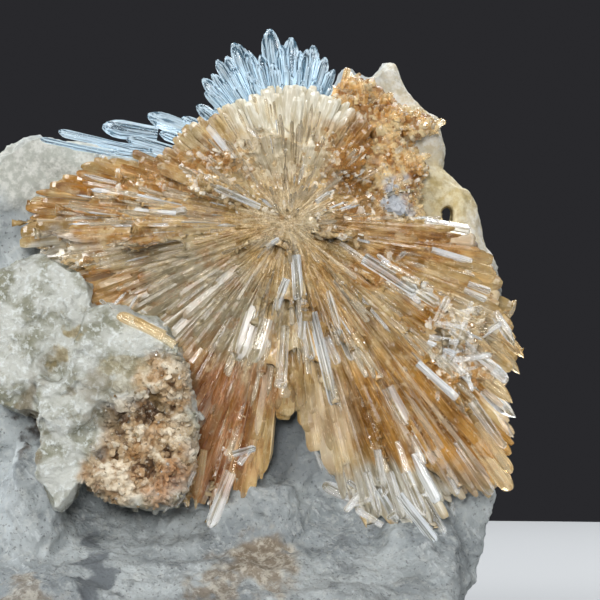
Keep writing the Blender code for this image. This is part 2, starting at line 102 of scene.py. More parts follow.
# The lump's grainy belly with its rustiest part, the tan spots of its white plates, and its hollows, which
# are carved in and darkened with painted shade
BELLY = [
    ((-8.0, 15.4), (4.4, 5.0), 1.0), ((-6.4, 20.4), (2.2, 3.0), 1.0), ((-10.8, 13.0), (2.6, 2.6), 0.9),
]
BELLY_RUST = [((-6.4, 12.4), (2.6, 2.2), 0.6)]
LUMP_TAN = [
    ((-14.9, 23.1), (1.0, 0.8), 0.8), ((-13.7, 25.0), (0.9, 1.0), 0.8), ((-9.6, 21.4), (2.2, 0.9), 0.5),
]
LUMP_SHADED_HOLLOWS = [
    ((-14.0, 19.6), (1.0, 0.7), 0.8), ((-12.2, 20.6), (1.4, 1.6), 0.7), ((-11.2, 17.8), (1.6, 1.0), 0.9),
    ((-15.8, 22.4), (1.2, 1.0), 0.5), ((-17.2, 16.6), (0.8, 4.6), 1.0), ((-7.4, 19.6), (0.7, 1.0), 1.0),
]
# The bluish white end of the crust
CRUST_WHITE = [((11.4, 34.4), (1.4, 2.8), 1.0)]
ROCK_STAINS_AND_SHADE = {
    "tan": [((0.8, 6.6), (3.4, 2.2), 0.7), ((-2.5, 4.6), (2.2, 1.2), 0.6), ((-17.0, 4.0), (2.4, 1.6), 0.5)],
    # painted shadow: a dark brown patch on the rock in the recess left of the lump, where the lump shades
    # it
    "shade": [((-17.6, 19.4), (1.0, 3.8), 0.95)],
    "slate": [
        ((-12.2, 5.6), (1.2, 3.0), 0.8), ((3.4, 16.2), (3.4, 4.4), 0.55), ((-6.0, 2.0), (14.0, 2.2), 0.4),
    ],
    "cream": [((15.0, 38.0), (7.0, 13.0), 1.0)],
    "chalk": [((-15.6, 37.6), (8.0, 4.0), 1.0)],
    "yellow": [((14.6, 35.0), (3.6, 3.0), 0.8), ((12.8, 41.8), (1.2, 1.2), 0.5)],
}

# Crystals that stand out, in photograph pixels: root, point, girth, end, stone
STANDING_PRISMS = [
    ((254, 306), (238, 360), 22, "round", "milky"), ((265, 318), (252, 361), 20, "round", "milky"),
    ((287, 279), (276, 309), 9, "blunt", "white"), ((296, 256), (299, 300), 12, "blunt", "white"),
    ((299, 304), (311, 359), 12, "blunt", "white"), ((304, 300), (302, 338), 8, "blunt", "clear"),
    ((285, 326), (282, 387), 10, "blunt", "clear"), ((312, 312), (334, 403), 11, "blunt", "white"),
    ((320, 330), (330, 372), 7, "point", "clear"), ((328, 292), (340, 334), 8, "point", "white"),
    ((338, 330), (352, 359), 9, "round", "clear"), ((326, 336), (338, 363), 9, "blunt", "clear"),
    ((363, 259), (414, 291), 14, "blunt", "white"), ((404, 283), (437, 304), 14, "blunt", "milky"),
    ((380, 262), (424, 286), 8, "blunt", "clear"), ((340, 244), (364, 262), 7, "blunt", "clear"),
    ((260, 208), (216, 189), 7, "round", "white"), ((316, 203), (335, 190), 6, "point", "white"),
    ((299, 186), (304, 164), 5, "point", "clear"), ((268, 247), (279, 240), 6, "blunt", "white"),
    ((328, 263), (344, 272), 8, "round", "honey"), ((262, 332), (270, 348), 7, "round", "clear"),
    ((356, 293), (390, 333), 4, "point", "clear"), ((416, 362), (455, 397), 9, "blunt", "white"),
    ((433, 322), (446, 297), 8, "blunt", "clear"), ((432, 322), (461, 329), 8, "blunt", "clear"),
    ((469, 302), (460, 330), 6, "blunt", "clear"), ((428, 336), (456, 342), 6, "blunt", "clear"),
    ((426, 342), (453, 354), 7, "blunt", "white"), ((463, 322), (446, 368), 6, "point", "clear"),
    ((448, 330), (474, 352), 7, "round", "clear"), ((470, 330), (488, 352), 8, "round", "honey"),
    ((442, 356), (468, 378), 8, "round", "clear"), ((466, 284), (488, 292), 8, "blunt", "white"),
    ((462, 290), (484, 300), 7, "blunt", "white"), ((410, 352), (430, 374), 6, "blunt", "clear"),
    ((386, 386), (406, 424), 15, "round", "milky"), ((470, 352), (500, 372), 9, "round", "white"),
    ((424, 224), (468, 232), 13, "blunt", "clear"), ((436, 238), (476, 248), 13, "blunt", "clear"),
    ((430, 250), (470, 262), 8, "blunt", "white"), ((440, 232), (474, 240), 8, "blunt", "clear"),
    ((498, 324), (514, 299), 14, "leaf", "honey"), ((492, 312), (513, 345), 12, "leaf", "clear"),
    ((498, 332), (523, 357), 12, "leaf", "honey"), ((488, 344), (519, 372), 14, "leaf", "honey"),
    ((478, 356), (505, 381), 13, "round", "clear"), ((476, 372), (510, 400), 15, "leaf", "honey"),
    ((482, 388), (512, 417), 15, "leaf", "clear"), ((482, 402), (510, 438), 16, "leaf", "clear"),
    ((470, 400), (503, 446), 12, "round", "clear"), ((474, 424), (509, 470), 14, "round", "honey"),
    ((474, 440), (508, 488), 16, "round", "honey"), ((454, 440), (490, 492), 12, "round", "clear"),
    ((354, 498), (323, 484), 13, "round", "clear"), ((352, 470), (366, 526), 11, "point", "honey"),
    ((340, 455), (352, 496), 8, "point", "clear"), ((376, 448), (384, 494), 9, "point", "clear"),
    ((366, 470), (378, 514), 9, "leaf", "clear"), ((412, 452), (436, 499), 12, "blunt", "white"),
    ((432, 448), (457, 492), 14, "round", "clear"), ((398, 492), (434, 538), 12, "blunt", "white"),
    ((424, 498), (444, 533), 8, "round", "clear"), ((388, 470), (402, 516), 11, "round", "clear"),
    ((378, 488), (397, 520), 9, "round", "white"), ((404, 470), (424, 516), 10, "leaf", "clear"),
    ((440, 480), (456, 516), 9, "leaf", "clear"), ((396, 440), (410, 484), 9, "blunt", "clear"),
    ((306, 430), (323, 470), 4, "point", "clear"), ((312, 446), (333, 478), 4, "point", "clear"),
    ((232, 470), (211, 525), 14, "round", "milky"), ((205, 448), (196, 507), 9, "point", "honey"),
    ((222, 452), (208, 500), 8, "point", "clear"), ((240, 440), (232, 476), 8, "round", "honey"),
    ((196, 468), (178, 504), 6, "point", "clear"), ((190, 470), (166, 510), 4, "point", "clear"),
    ((234, 452), (256, 446), 8, "blunt", "white"), ((252, 446), (240, 462), 7, "blunt", "clear"),
    ((224, 170), (196, 138), 9, "blunt", "clear"), ((214, 174), (180, 146), 8, "blunt", "clear"),
    ((236, 162), (209, 128), 8, "blunt", "white"), ((204, 178), (164, 158), 7, "blunt", "clear"),
    ((220, 184), (184, 170), 6, "point", "clear"), ((192, 170), (150, 152), 7, "blunt", "clear"),
    ((178, 214), (136, 211), 6, "blunt", "white"), ((136, 196), (90, 190), 5, "point", "white"),
    ((118, 184), (86, 176), 5, "point", "white"), ((170, 226), (112, 226), 4, "point", "clear"),
    ((96, 171), (97, 150), 5, "blunt", "white"), ((103, 170), (104, 154), 6, "blunt", "clear"),
    ((178, 213), (188, 211), 9, "blunt", "white"), ((62, 198), (46, 194), 14, "round", "honey"),
    ((52, 204), (33, 201), 10, "round", "honey"), ((300, 124), (304, 104), 7, "blunt", "white"),
    ((312, 122), (317, 102), 6, "blunt", "white"), ((306, 92), (300, 104), 7, "round", "honey"),
    ((250, 128), (233, 110), 6, "blunt", "white"), ((262, 142), (246, 128), 5, "blunt", "clear"),
    ((236, 140), (214, 116), 7, "blunt", "white"), ((228, 150), (208, 128), 7, "blunt", "clear"),
    ((168, 335), (122, 314), 12, "round", "honey"), ((178, 344), (138, 319), 11, "round", "honey"),
    ((120, 300), (150, 314), 3, "point", "clear"), ((112, 310), (128, 292), 3, "point", "clear"),
    ((130, 312), (140, 294), 3, "point", "clear"), ((120, 312), (104, 300), 4, "blunt", "clear"),
]
# Blades of the clear fan in photograph pixels: point, girth, share of the way that its root starts at
FAN_BLADES = [
    ((190, 122), 11, 0.45), ((197, 106), 14, 0.45), ((206, 92), 11, 0.42), ((203, 79), 14, 0.42),
    ((213, 74), 11, 0.42), ((217, 61), 12, 0.40), ((226, 57), 13, 0.40), ((235, 43), 20, 0.38),
    ((247, 52), 16, 0.38), ((258, 61), 12, 0.38), ((269, 30), 22, 0.36), ((280, 50), 13, 0.38),
    ((291, 38), 20, 0.36), ((300, 52), 11, 0.38), ((307, 50), 12, 0.38), ((315, 46), 14, 0.38),
    ((326, 58), 13, 0.40), ((333, 70), 11, 0.42),
]
# The prisms that lie along the left ridge, in photograph pixels: root, point, girth
RIDGE_PRISMS = [
    ((158, 135), (103, 127), 20), ((204, 136), (148, 117), 20), ((130, 149), (60, 133), 9),
    ((138, 153), (81, 137), 8), ((152, 151), (97, 144), 9), ((180, 153), (128, 139), 12),
    ((208, 152), (160, 133), 12), ((222, 136), (182, 119), 12), ((112, 155), (42, 140), 7),
    ((142, 158), (70, 147), 7), ((172, 160), (114, 152), 8), ((204, 162), (150, 150), 9),
    ((226, 150), (190, 128), 10), ((226, 166), (176, 150), 9),
]

# The hole through the flange, in millimetres: x, z and radius
HOLE = (15.8, 34.0, 0.42)

CREEDITE_IOR = 1.46
FULL_TURN = 6.283

# How fine the carved copies are, in millimetres, and how wide the gaps are that the spray's copy fills
ROCK_VOXEL = 0.285
LUMP_VOXEL = 0.14
CRUST_VOXEL = 0.13
SPRAY_VOXEL = 0.24
SPRAY_GAPS = 0.55

# The rock's relief fades below the first of these heights, and its bedding ends at the second
FOOT_EASE = 0.8
BEDDING_TOP = 16.0
# The flange and its peak begin at these x and z, and the peak is drawn out by this share of its height
FLANGE = (11.5, 30.0)
PEAK = (9.6, 44.2)
PEAK_STRETCH = 0.7

# Needles and dust on the spray stop at this share of its reach
NEEDLES_END = 0.86

# Clear crystal of each kind: its name, darkest and lightest screen colour, what it takes on with depth
# and how fast, how clear it is, how strong its fine lines and its painted highlight along the sides are,
# and its bands to a girth
STONES = {
    "clear": (
        "clear prism", (148, 138, 112), (248, 250, 252), (0.94, 0.95, 0.92), 30.0, 0.76, 0.3, 1.0, 5.0,
    ),
    "milky": (
        "milky prism", (166, 158, 132), (253, 254, 254), (0.95, 0.95, 0.93), 30.0, 0.70, 0.3, 1.0, 5.0,
    ),
    "white": (
        "frosted prism", (138, 136, 124), (238, 243, 248), (0.94, 0.95, 0.96), 30.0, 0.66, 0.4, 0.9, 5.0,
    ),
    "honey": (
        "honey prism", (182, 152, 104), (228, 212, 178), (0.94, 0.86, 0.68), 110.0, 0.72, 0.2, 0.9, 5.0,
    ),
    "thin": (
        "thin needle", (150, 132, 96), (238, 232, 218), (0.94, 0.92, 0.86), 40.0, 0.82, 0.5, 0.3, 5.0,
    ),
    "ice": (
        "clear creedite", (56, 80, 94), (208, 224, 233), (0.90, 0.96, 1.0), 40.0, 0.60, 0.6, 0.9, 8.0,
    ),
}

# Crystals that the nodes pick from: how many, their length in girths, seed, ends, numbers of sides, the
# root's share of the girth, and the share that lies below the surface they grow on
KINDS = {
    "wedges": (6, 14.0, 2, ("gothic", "round", "blunt"), (6,), 0.08, 0.0),
    "blunt wedges": (5, 10.0, 3, ("blunt", "round"), (6,), 0.12, 0.0),
    "slim crystals": (6, 22.0, 4, ("point", "round", "gothic"), (5, 6), 0.2, 0.0),
    "short crystals": (5, 7.0, 5, ("point", "round"), (5, 6), 0.5, 0.0),
    "grains": (6, 2.2, 21, ("point", "round", "blunt"), (4, 5, 6), 0.9, 0.4),
    "thin needles": (6, 10.0, 22, ("point", "blunt"), (5, 6), 0.6, 0.4),
    "prisms": (6, 5.0, 23, ("round", "blunt", "gothic"), (6,), 0.9, 0.35),
}

# The studio's lights: place and diameter in millimetres, power in watts, and colour
LIGHTS = {
    "soft key": ((-150, -240, 230), 120, 0.72, (1.0, 1.0, 1.0)),
    "right fill": ((240, -200, 110), 140, 0.30, (1.0, 1.0, 1.0)),
    "back light": ((60, 170, 220), 140, 1.0, (0.92, 0.96, 1.0)),
    "left back light": ((-220, 90, 90), 120, 0.5, (0.92, 0.96, 1.0)),
    "front spark": ((-30, -320, 85), 84, 0.60, (1.0, 1.0, 1.0)),
}
LIT_POINT = Vector((2.0, 0.0, 26.0))
DIM_AIR = (0.022, 0.022, 0.025, 1.0)
FLOOR_RADIUS = 180
FLOOR_GREY = (0.34, 0.34, 0.34, 1.0)


def at_pixel(px, py):
    """The x and z that a pixel of the photograph shows, in millimetres."""
    return (px - PIXEL_X0) * PIXEL, (PIXEL_Z0 - py) * PIXEL


def settings(thing, **values):
    """The thing, with the named values set on it."""
    for name, value in values.items():
        setattr(thing, name, value)
    return thing


class Sheet:
    """A node tree under construction. An input takes a number, or another node's output."""

    def __init__(self, tree):
        self.tree = tree

    def add(self, kind, inputs=(), **options):
        made = settings(self.tree.nodes.new(kind), **options)
        for key, value in dict(inputs).items():
            socket = made.inputs[key] if isinstance(key, int) else self.named(made.inputs, key)
            if isinstance(value, bpy.types.NodeSocket):
                self.tree.links.new(value, socket)
            else:
                socket.default_value = value
        return made

    @staticmethod
    def named(sockets, name):
        return next(s for s in sockets if s.name == name and s.enabled)

    def math(self, operation, a, b=0.0, c=0.0):
        return self.add("ShaderNodeMath", {0: a, 1: b, 2: c}, operation=operation).outputs[0]

    def vector(self, operation, a, b=(0.0, 0.0, 0.0)):
        made = self.add("ShaderNodeVectorMath", {0: a, 1: b}, operation=operation)
        return made.outputs["Value" if operation == "LENGTH" else "Vector"]

    def scaled(self, vector, factor):
        return self.add("ShaderNodeVectorMath", {0: vector, "Scale": factor}, operation="SCALE").outputs[0]

    def combine(self, x, y, z):
        return self.add("ShaderNodeCombineXYZ", {0: x, 1: y, 2: z}).outputs[0]

    def span(self, value, low, high, to_low=0.0, to_high=1.0, smooth=True):
        """The value, carried from one range to another and held at its ends."""
        kind = "SMOOTHSTEP" if smooth else "LINEAR"
        inputs = {0: value, 1: low, 2: high, 3: to_low, 4: to_high}
        return self.add("ShaderNodeMapRange", inputs, interpolation_type=kind).outputs[0]


class Paint(Sheet):
    """A material's tree, with the mixes and patterns that mineral finishes use."""

    def __init__(self, name, ragged=1.0):
        self.material = bpy.data.materials.new(name)
        self.material.use_nodes = True
        super().__init__(self.material.node_tree)
        self.shader = self.tree.nodes["Principled BSDF"]
        self.place = self.add("ShaderNodeTexCoord").outputs["Object"]
        drift = {"Vector": self.place, "Scale": 1 / (2.2 * MM), "Detail": 4.0}
        wander = self.add("ShaderNodeTexNoise", drift)
        shift = self.vector("SUBTRACT", wander.outputs[1], (0.5, 0.5, 0.5))
        self.warped = self.vector("ADD", self.place, self.scaled(shift, 7.0 * ragged * MM))

    def mix(self, factor, a, b):
        made = self.add("ShaderNodeMix", data_type="RGBA")
        for index, value in ((0, factor), (6, a), (7, b)):
            if isinstance(value, bpy.types.NodeSocket):
                self.tree.links.new(value, made.inputs[index])
            else:
                made.inputs[index].default_value = value if index == 0 else (*value, 1.0)
        return made.outputs[2]

    def flecked(self, base, share, low, high, most, tone):
        """The base under a screen colour, from none of it at low to most of it at high."""
        return self.mix(self.span(share, low, high, 0.0, most), base, colour(*tone))

    def tones(self, share, dark, light, low=0.36, high=0.64):
        """A blend of two screen colours as the share goes from low to high."""
        return self.mix(self.span(share, low, high), colour(*dark), colour(*light))

    def grain(self, size, detail=4.0, roughness=0.55):
        """Noise whose grains are about that many millimetres wide."""
        inputs = {"Vector": self.place, "Scale": 1 / (size * MM), "Detail": detail, "Roughness": roughness}
        return self.add("ShaderNodeTexNoise", inputs).outputs[0]

    def fibres(self):
        """Fine noise drawn out into short slanting strokes."""
        slant = {"Vector": self.place, "Angle": 0.55}
        turned = self.add("ShaderNodeVectorRotate", slant, rotation_type="Y_AXIS").outputs[0]
        strokes = self.vector("MULTIPLY", turned, (1 / (0.35 * MM), 1 / (0.35 * MM), 1 / (1.6 * MM)))
        return self.add("ShaderNodeTexNoise", {"Vector": strokes, "Scale": 1.0, "Detail": 5.0}).outputs[0]

    def rays(self, bands, run, detail=3.0):
        """Streaks that radiate from the heart: bands to a radian, each running that many millimetres."""
        away = self.vector("SUBTRACT", self.place, tuple(HEART * MM))
        along = self.math("DIVIDE", self.vector("LENGTH", away), run * MM)
        aim = self.scaled(self.vector("NORMALIZE", away), float(bands))
        inputs = {"Vector": aim, "W": along, "Scale": 1.0, "Detail": detail}
        return self.add("ShaderNodeTexNoise", inputs, noise_dimensions="4D").outputs[0]

    def zone(self, patches):
        """1 inside the listed patches of the front, 0 outside, with ragged edges."""
        whole = None
        for (x, z), (wide, high), strength in patches:
            away = self.vector("SUBTRACT", self.warped, (x * MM, 0.0, z * MM))
            away = self.vector("MULTIPLY", away, (1 / (wide * MM), 0.0, 1 / (high * MM)))
            share = self.span(self.vector("LENGTH", away), 1.2, 0.6, 0.0, strength)
            whole = share if whole is None else self.math("MAXIMUM", whole, share)
        return whole

    def forward(self, near, far):
        """1 in front of y = near, 0 behind y = far, both in millimetres."""
        y = self.add("ShaderNodeSeparateXYZ", {0: self.place}).outputs[1]
        return self.span(y, near * MM, far * MM, 1.0, 0.0)

    def own(self, name, output="Fac"):
        """A value that the mesh carries."""
        return self.add("ShaderNodeAttribute", attribute_name=name).outputs[output]

    def striations(self, across, along):
        """Fine lines that run along each crystal."""
        local = self.own("local", "Vector")
        shift = self.combine(self.math("MULTIPLY", self.own("tint"), 90.0), 0.0, 0.0)
        lines = self.vector("ADD", self.vector("MULTIPLY", local, (across, across, along)), shift)
        return self.add("ShaderNodeTexNoise", {"Vector": lines, "Scale": 1.0, "Detail": 3.0}).outputs[0]

    def relief(self, height, depth, strength):
        made = self.add("ShaderNodeBump", {"Strength": strength, "Distance": depth * MM, "Height": height})
        self.tree.links.new(made.outputs[0], self.shader.inputs["Normal"])

    def finish(self, **values):
        for name, value in values.items():
            socket = self.shader.inputs[name.replace("_", " ").title().replace("Ior", "IOR")]
            if isinstance(value, bpy.types.NodeSocket):
                self.tree.links.new(value, socket)
            else:
                socket.default_value = value
        return self.material


def colour(red, green, blue):
    """A screen colour, 0 to 255, as the linear values that a shader takes."""
    levels = (red / 255, green / 255, blue / 255)
    return tuple(c / 12.92 if c <= 0.04 else ((c + 0.055) / 1.055) ** 2.4 for c in levels)


def matrix_stone():
    p = Paint("mottled limestone", 0.8)
    fine = p.grain(0.7, 6.0, 0.65)
    base = p.tones(p.grain(6.0, 5.0), (150, 157, 160), (196, 203, 204))
    where = p.span(p.grain(4.0, 3.0), 0.46, 0.62, 0.1, 0.6)
    strokes = p.math("MULTIPLY", p.span(p.fibres(), 0.50, 0.66), where)
    base = p.mix(strokes, base, colour(224, 230, 231))
    base = p.flecked(base, fine, 0.50, 0.66, 0.5, (214, 217, 213))
    base = p.flecked(base, p.grain(2.2, 6.0, 0.7), 0.52, 0.68, 0.6, (108, 113, 116))
    base = p.flecked(base, p.grain(0.3, 3.0), 0.58, 0.70, 0.6, (84, 84, 84))
    only_front = p.forward(2.0, 4.0)
    front_stains_and_shade = {
        "tan": p.tones(p.grain(0.8, 5.0, 0.7), (136, 110, 72), (218, 206, 184), 0.44, 0.60),
        "slate": colour(100, 106, 112),
        # painted shadow: dark brown in the recess beside the lump, on the rock's front only
        "shade": p.tones(fine, (40, 32, 26), (96, 78, 60)),
    }
    for patch_kind, tone in front_stains_and_shade.items():
        base = p.mix(p.math("MULTIPLY", only_front, p.zone(ROCK_STAINS_AND_SHADE[patch_kind])), base, tone)
    pale_stains = {
        "cream": p.tones(fine, (226, 214, 184), (250, 246, 234), 0.40, 0.62),
        "chalk": p.tones(fine, (188, 190, 180), (226, 226, 218), 0.40, 0.62),
        "yellow": p.tones(fine, (222, 198, 132), (252, 238, 194)),
    }
    for patch_kind, tone in pale_stains.items():
        base = p.mix(p.zone(ROCK_STAINS_AND_SHADE[patch_kind]), base, tone)
    height = p.math("MULTIPLY_ADD", p.grain(0.5, 7.0, 0.75), 0.7, p.math("MULTIPLY", p.fibres(), 0.12))
    p.relief(height, 0.70, 1.0)
    return p.finish(base_color=base, roughness=p.span(fine, 0.3, 0.7, 0.62, 0.9), specular_ior_level=0.35)


def crumbly(p, dark, middle, light):
    """Colours of a crumbly mass, with painted shade in its hollows and painted light on its crests."""
    crest = p.own("crest")
    # painted shade and light: the colour follows the carved relief, dark in the hollows and light on the
    # crests
    tone = p.mix(p.span(crest, -0.25, 0.05), colour(*dark), colour(*middle))
    tone = p.flecked(tone, crest, 0.0, 0.35, 0.85, light)
    tone = p.flecked(tone, p.grain(0.35, 5.0, 0.65), 0.52, 0.68, 0.55, (242, 232, 212))
    return p.flecked(tone, p.grain(0.9, 5.0, 0.7), 0.56, 0.68, 0.6, dark)


def chalk_stone():
    p = Paint("chalk and rusty grains", 0.7)
    broad = p.grain(2.6, 5.0)
    fine = p.grain(0.45, 6.0, 0.65)
    # The chalk's tones follow its bump: partly its own mottling, partly painted shade in the dips and a
    # painted highlight, whitest, on the rises
    base = p.tones(broad, (136, 136, 118), (192, 194, 187), 0.38, 0.56)
    base = p.flecked(base, fine, 0.50, 0.64, 0.7, (220, 225, 223))
    base = p.flecked(base, p.grain(1.1, 5.0, 0.7), 0.56, 0.68, 0.5, (140, 132, 104))
    grains = crumbly(p, (88, 62, 38), (182, 156, 120), (240, 229, 206))
    grains = p.flecked(grains, p.grain(1.8, 4.0), 0.48, 0.62, 0.6, (176, 134, 84))
    grains = p.mix(p.zone(BELLY_RUST), grains, p.tones(fine, (128, 76, 36), (202, 150, 104)))
    base = p.mix(p.zone(BELLY), base, grains)
    base = p.mix(p.zone(LUMP_TAN), base, p.tones(fine, (134, 116, 72), (176, 164, 128)))
    # painted shade: the lump's hollows, and the gap where it meets the rock, darkened towards brown
    base = p.mix(p.math("MULTIPLY", p.zone(LUMP_SHADED_HOLLOWS), 0.6), base, colour(112, 94, 58))
    p.relief(p.math("MULTIPLY_ADD", fine, 0.8, p.math("MULTIPLY", broad, 0.4)), 0.45, 1.0)
    return p.finish(base_color=base, roughness=p.span(fine, 0.3, 0.7, 0.40, 0.80), specular_ior_level=0.4)


def rusty_grains():
    p = Paint("rusty grains", 0.6)
    base = crumbly(p, (116, 72, 22), (206, 156, 86), (236, 212, 162))
    base = p.flecked(base, p.grain(1.8, 4.0), 0.54, 0.66, 0.7, (200, 182, 142))
    base = p.flecked(base, p.grain(1.3, 4.0, 0.6), 0.50, 0.60, 0.8, (148, 92, 34))
    base = p.flecked(base, p.own("tint"), 0.72, 0.90, 0.8, (222, 208, 180))
    base = p.mix(p.zone(CRUST_WHITE), base, colour(206, 210, 216))
    p.relief(p.grain(0.4, 6.0, 0.75), 0.40, 1.0)
    return p.finish(base_color=base, roughness=0.26, specular_ior_level=0.6)


def stained_crystal(name, veils, clear):
    """Creedite in all its stains, streaked along its rays; veils is how milky its streaks are."""
    p = Paint(name, 0.7)
    wide, fine, hair = p.rays(18, 9.0), p.rays(60, 5.0), p.rays(170, 4.0, 2.0)
    soft = p.math("MULTIPLY_ADD", fine, 0.4, p.math("MULTIPLY", wide, 0.6))
    patchy = p.grain(1.6, 5.0, 0.65)
    body = p.tones(wide, (142, 116, 68), (194, 169, 121))
    gold = p.tones(soft, (112, 74, 18), (174, 132, 62), 0.40, 0.60)
    body = p.mix(p.zone(STAINS["gold"]), body, gold)
    body = p.mix(p.zone(STAINS["grey"]), body, p.tones(wide, (116, 106, 82), (154, 144, 120)))
    rusty = p.math("MULTIPLY", p.zone(STAINS["rust"]), p.span(p.grain(1.4, 4.0), 0.36, 0.58, 0.3, 1.0))
    body = p.mix(rusty, body, p.tones(soft, (98, 56, 8), (160, 112, 46), 0.40, 0.60))
    body = p.mix(p.zone(STAINS["red"]), body, p.tones(soft, (110, 64, 32), (170, 125, 84), 0.40, 0.60))
    body = p.flecked(body, p.grain(3.4, 4.0), 0.52, 0.64, 0.45, (160, 146, 112))
    body = p.flecked(body, p.rays(34, 1.6, 4.0), 0.55, 0.66, 0.5, (124, 80, 28))
    body = p.flecked(body, patchy, 0.52, 0.64, 0.55, (132, 92, 36))
    body = p.flecked(body, patchy, 0.44, 0.34, 0.45, (206, 190, 156))
    pale = p.tones(soft, (186, 176, 150), (222, 219, 204), 0.40, 0.60)
    body = p.mix(p.zone(STAINS["pale"]), body, pale)
    body = p.flecked(body, p.grain(0.35, 4.0, 0.7), 0.58, 0.68, 0.45, (226, 210, 180))
    body = p.flecked(body, p.rays(44, 12.0), 0.57, 0.70, veils, (218, 204, 174))
    body = p.flecked(body, hair, 0.62, 0.74, veils, (238, 232, 218))
    body = p.flecked(body, p.own("tint"), 0.85, 0.98, 0.3, (228, 222, 206))
    frosted = p.math("MULTIPLY", p.zone(STAINS["frost"]), 0.8)
    body = p.mix(frosted, body, p.tones(fine, (118, 117, 105), (192, 195, 190)))
    gritty = p.tones(p.grain(0.5, 5.0, 0.7), (168, 146, 98), (208, 196, 158))
    body = p.mix(p.zone(STAINS["flange"]), body, gritty)
    p.relief(p.math("MULTIPLY_ADD", hair, 0.3, fine), 0.08, 0.5)
    return p.finish(
        base_color=body, roughness=p.span(fine, 0.3, 0.7, 0.12, 0.30),
        transmission_weight=clear, ior=CREEDITE_IOR, specular_ior_level=0.6,
    )


def gritty_crystal(name):
    """Small broken creedite grains: some glassy white, some stained."""
    p = Paint(name, 0.6)
    own = p.own("tint")
    rust = p.math("MAXIMUM", p.zone(STAINS["rust"]), p.zone(STAINS["gold"]))
    body = p.mix(rust, colour(198, 180, 146), colour(176, 134, 76))
    body = p.flecked(body, own, 0.62, 0.70, 1.0, (232, 228, 218))
    body = p.flecked(body, own, 0.14, 0.10, 0.6, (146, 102, 50))
    return p.finish(base_color=body, roughness=0.08, transmission_weight=0.60, ior=CREEDITE_IOR)


def clear_crystal(name, dark, light, fog_tone, fog, clear, lines, edges, bands):
    """See-through creedite of one kind, as STONES lists it."""
    p = Paint(name)
    growth = p.striations(bands, 0.6)
    hair = p.striations(2.75 * bands, 1.0)
    across = p.add("ShaderNodeSeparateXYZ", {0: p.own("local", "Vector")}).outputs[0]
    base = p.tones(growth, dark, light, 0.40, 0.56)
    base = p.flecked(base, hair, 0.56, 0.64, lines, dark)
    # painted highlight: the lightest colour along the prism's sides, standing in for the bright edges that
    # light gives a clear prism
    base = p.flecked(base, p.math("ABSOLUTE", across), 0.30, 0.42, edges, light)
    p.relief(p.math("MULTIPLY_ADD", hair, 0.5, growth), 0.10, 0.5)
    haze = p.add("ShaderNodeVolumeAbsorption", {"Color": (*fog_tone, 1.0), "Density": fog})
    p.tree.links.new(haze.outputs[0], p.tree.nodes["Material Output"].inputs["Volume"])
    return p.finish(base_color=base, roughness=0.06, transmission_weight=clear, ior=CREEDITE_IOR)


# How each kind of crystal ends: its head's length in girths, and (share of the head, share of the girth)
ENDS = {
    "point": (1.8, [(0.0, 1.0), (1.0, 0.10)]),
    "blunt": (0.35, [(0.0, 1.0), (0.6, 0.86), (1.0, 0.62)]),
    "round": (0.7, [(0.0, 1.0), (0.45, 0.90), (0.8, 0.66), (1.0, 0.34)]),
    "gothic": (0.95, [(0.0, 1.0), (0.4, 0.90), (0.75, 0.62), (1.0, 0.22)]),
    "leaf": (1.6, [(0.0, 1.0), (0.35, 0.84), (0.7, 0.50), (1.0, 0.06)]),
}


def crystal_mesh(name, rnd, slenderness, end, sides, root_share, sunk=0.0):
    """A crystal one wide and one high. slenderness is its length in girths, sunk the part below z = 0."""
    head, rings = ENDS[end]
    head = min(0.45, head / slenderness)
    levels = [(0.0, root_share)] + [(1.0 - head * (1.0 - share), girth) for share, girth in rings]
    spokes = []
    for k in range(sides):
        angle = (k + 0.5) * 2 * math.pi / sides + rnd.uniform(-0.12, 0.12)
        spokes.append(Vector((math.cos(angle), math.sin(angle), 0.0)) * rnd.uniform(0.46, 0.54))
    lean = Vector((rnd.uniform(-0.18, 0.18), rnd.uniform(-0.18, 0.18), 0.0))
    bm = bmesh.new()
    local = bm.verts.layers.float_vector.new("local")
    loops = []
    for height, girth in levels:
        loop = []
        for spoke in spokes:
            shift = lean * (1.0 - girth) if height > 0.0 else Vector()
            vert = bm.verts.new(spoke * girth + shift + Vector((0.0, 0.0, height - sunk)))
            vert[local] = (vert.co.x, vert.co.y, height)
            loop.append(vert)
        loops.append(loop)
    for lower, upper in zip(loops, loops[1:]):
        for k in range(sides):
            n = (k + 1) % sides
            bm.faces.new((lower[k], lower[n], upper[n], upper[k]))
    bm.faces.new(loops[0][::-1])
    bm.faces.new(loops[-1])
    mesh = bpy.data.meshes.new(name)
    bm.to_mesh(mesh)
    bm.free()
    return mesh


def crystal_set(name, count, slenderness, seed, ends, sides, root_share, sunk):
    """A hidden collection of unlike crystals, for the nodes to pick from, as KINDS lists them."""
    rnd = random.Random(seed)
    chosen = bpy.data.collections.new(name)
    for k in range(count):
        label, end = f"{name} {k}", ends[k % len(ends)]
        mesh = crystal_mesh(label, rnd, slenderness, end, rnd.choice(sides), root_share, sunk)
        chosen.objects.link(bpy.data.objects.new(label, mesh))
    return chosen


def new_tree(name, inlets):
    """A node group with named inputs and one geometry output, as a sheet and its inputs."""
    tree = bpy.data.node_groups.new(name, "GeometryNodeTree")
    tree.is_modifier = True
    for label, kind in inlets:
        tree.interface.new_socket(name=label, in_out="INPUT", socket_type="NodeSocket" + kind)
    tree.interface.new_socket(name="Crystals Grown", in_out="OUTPUT", socket_type="NodeSocketGeometry")
    sheet = Sheet(tree)
    return sheet, sheet.add("NodeGroupInput").outputs


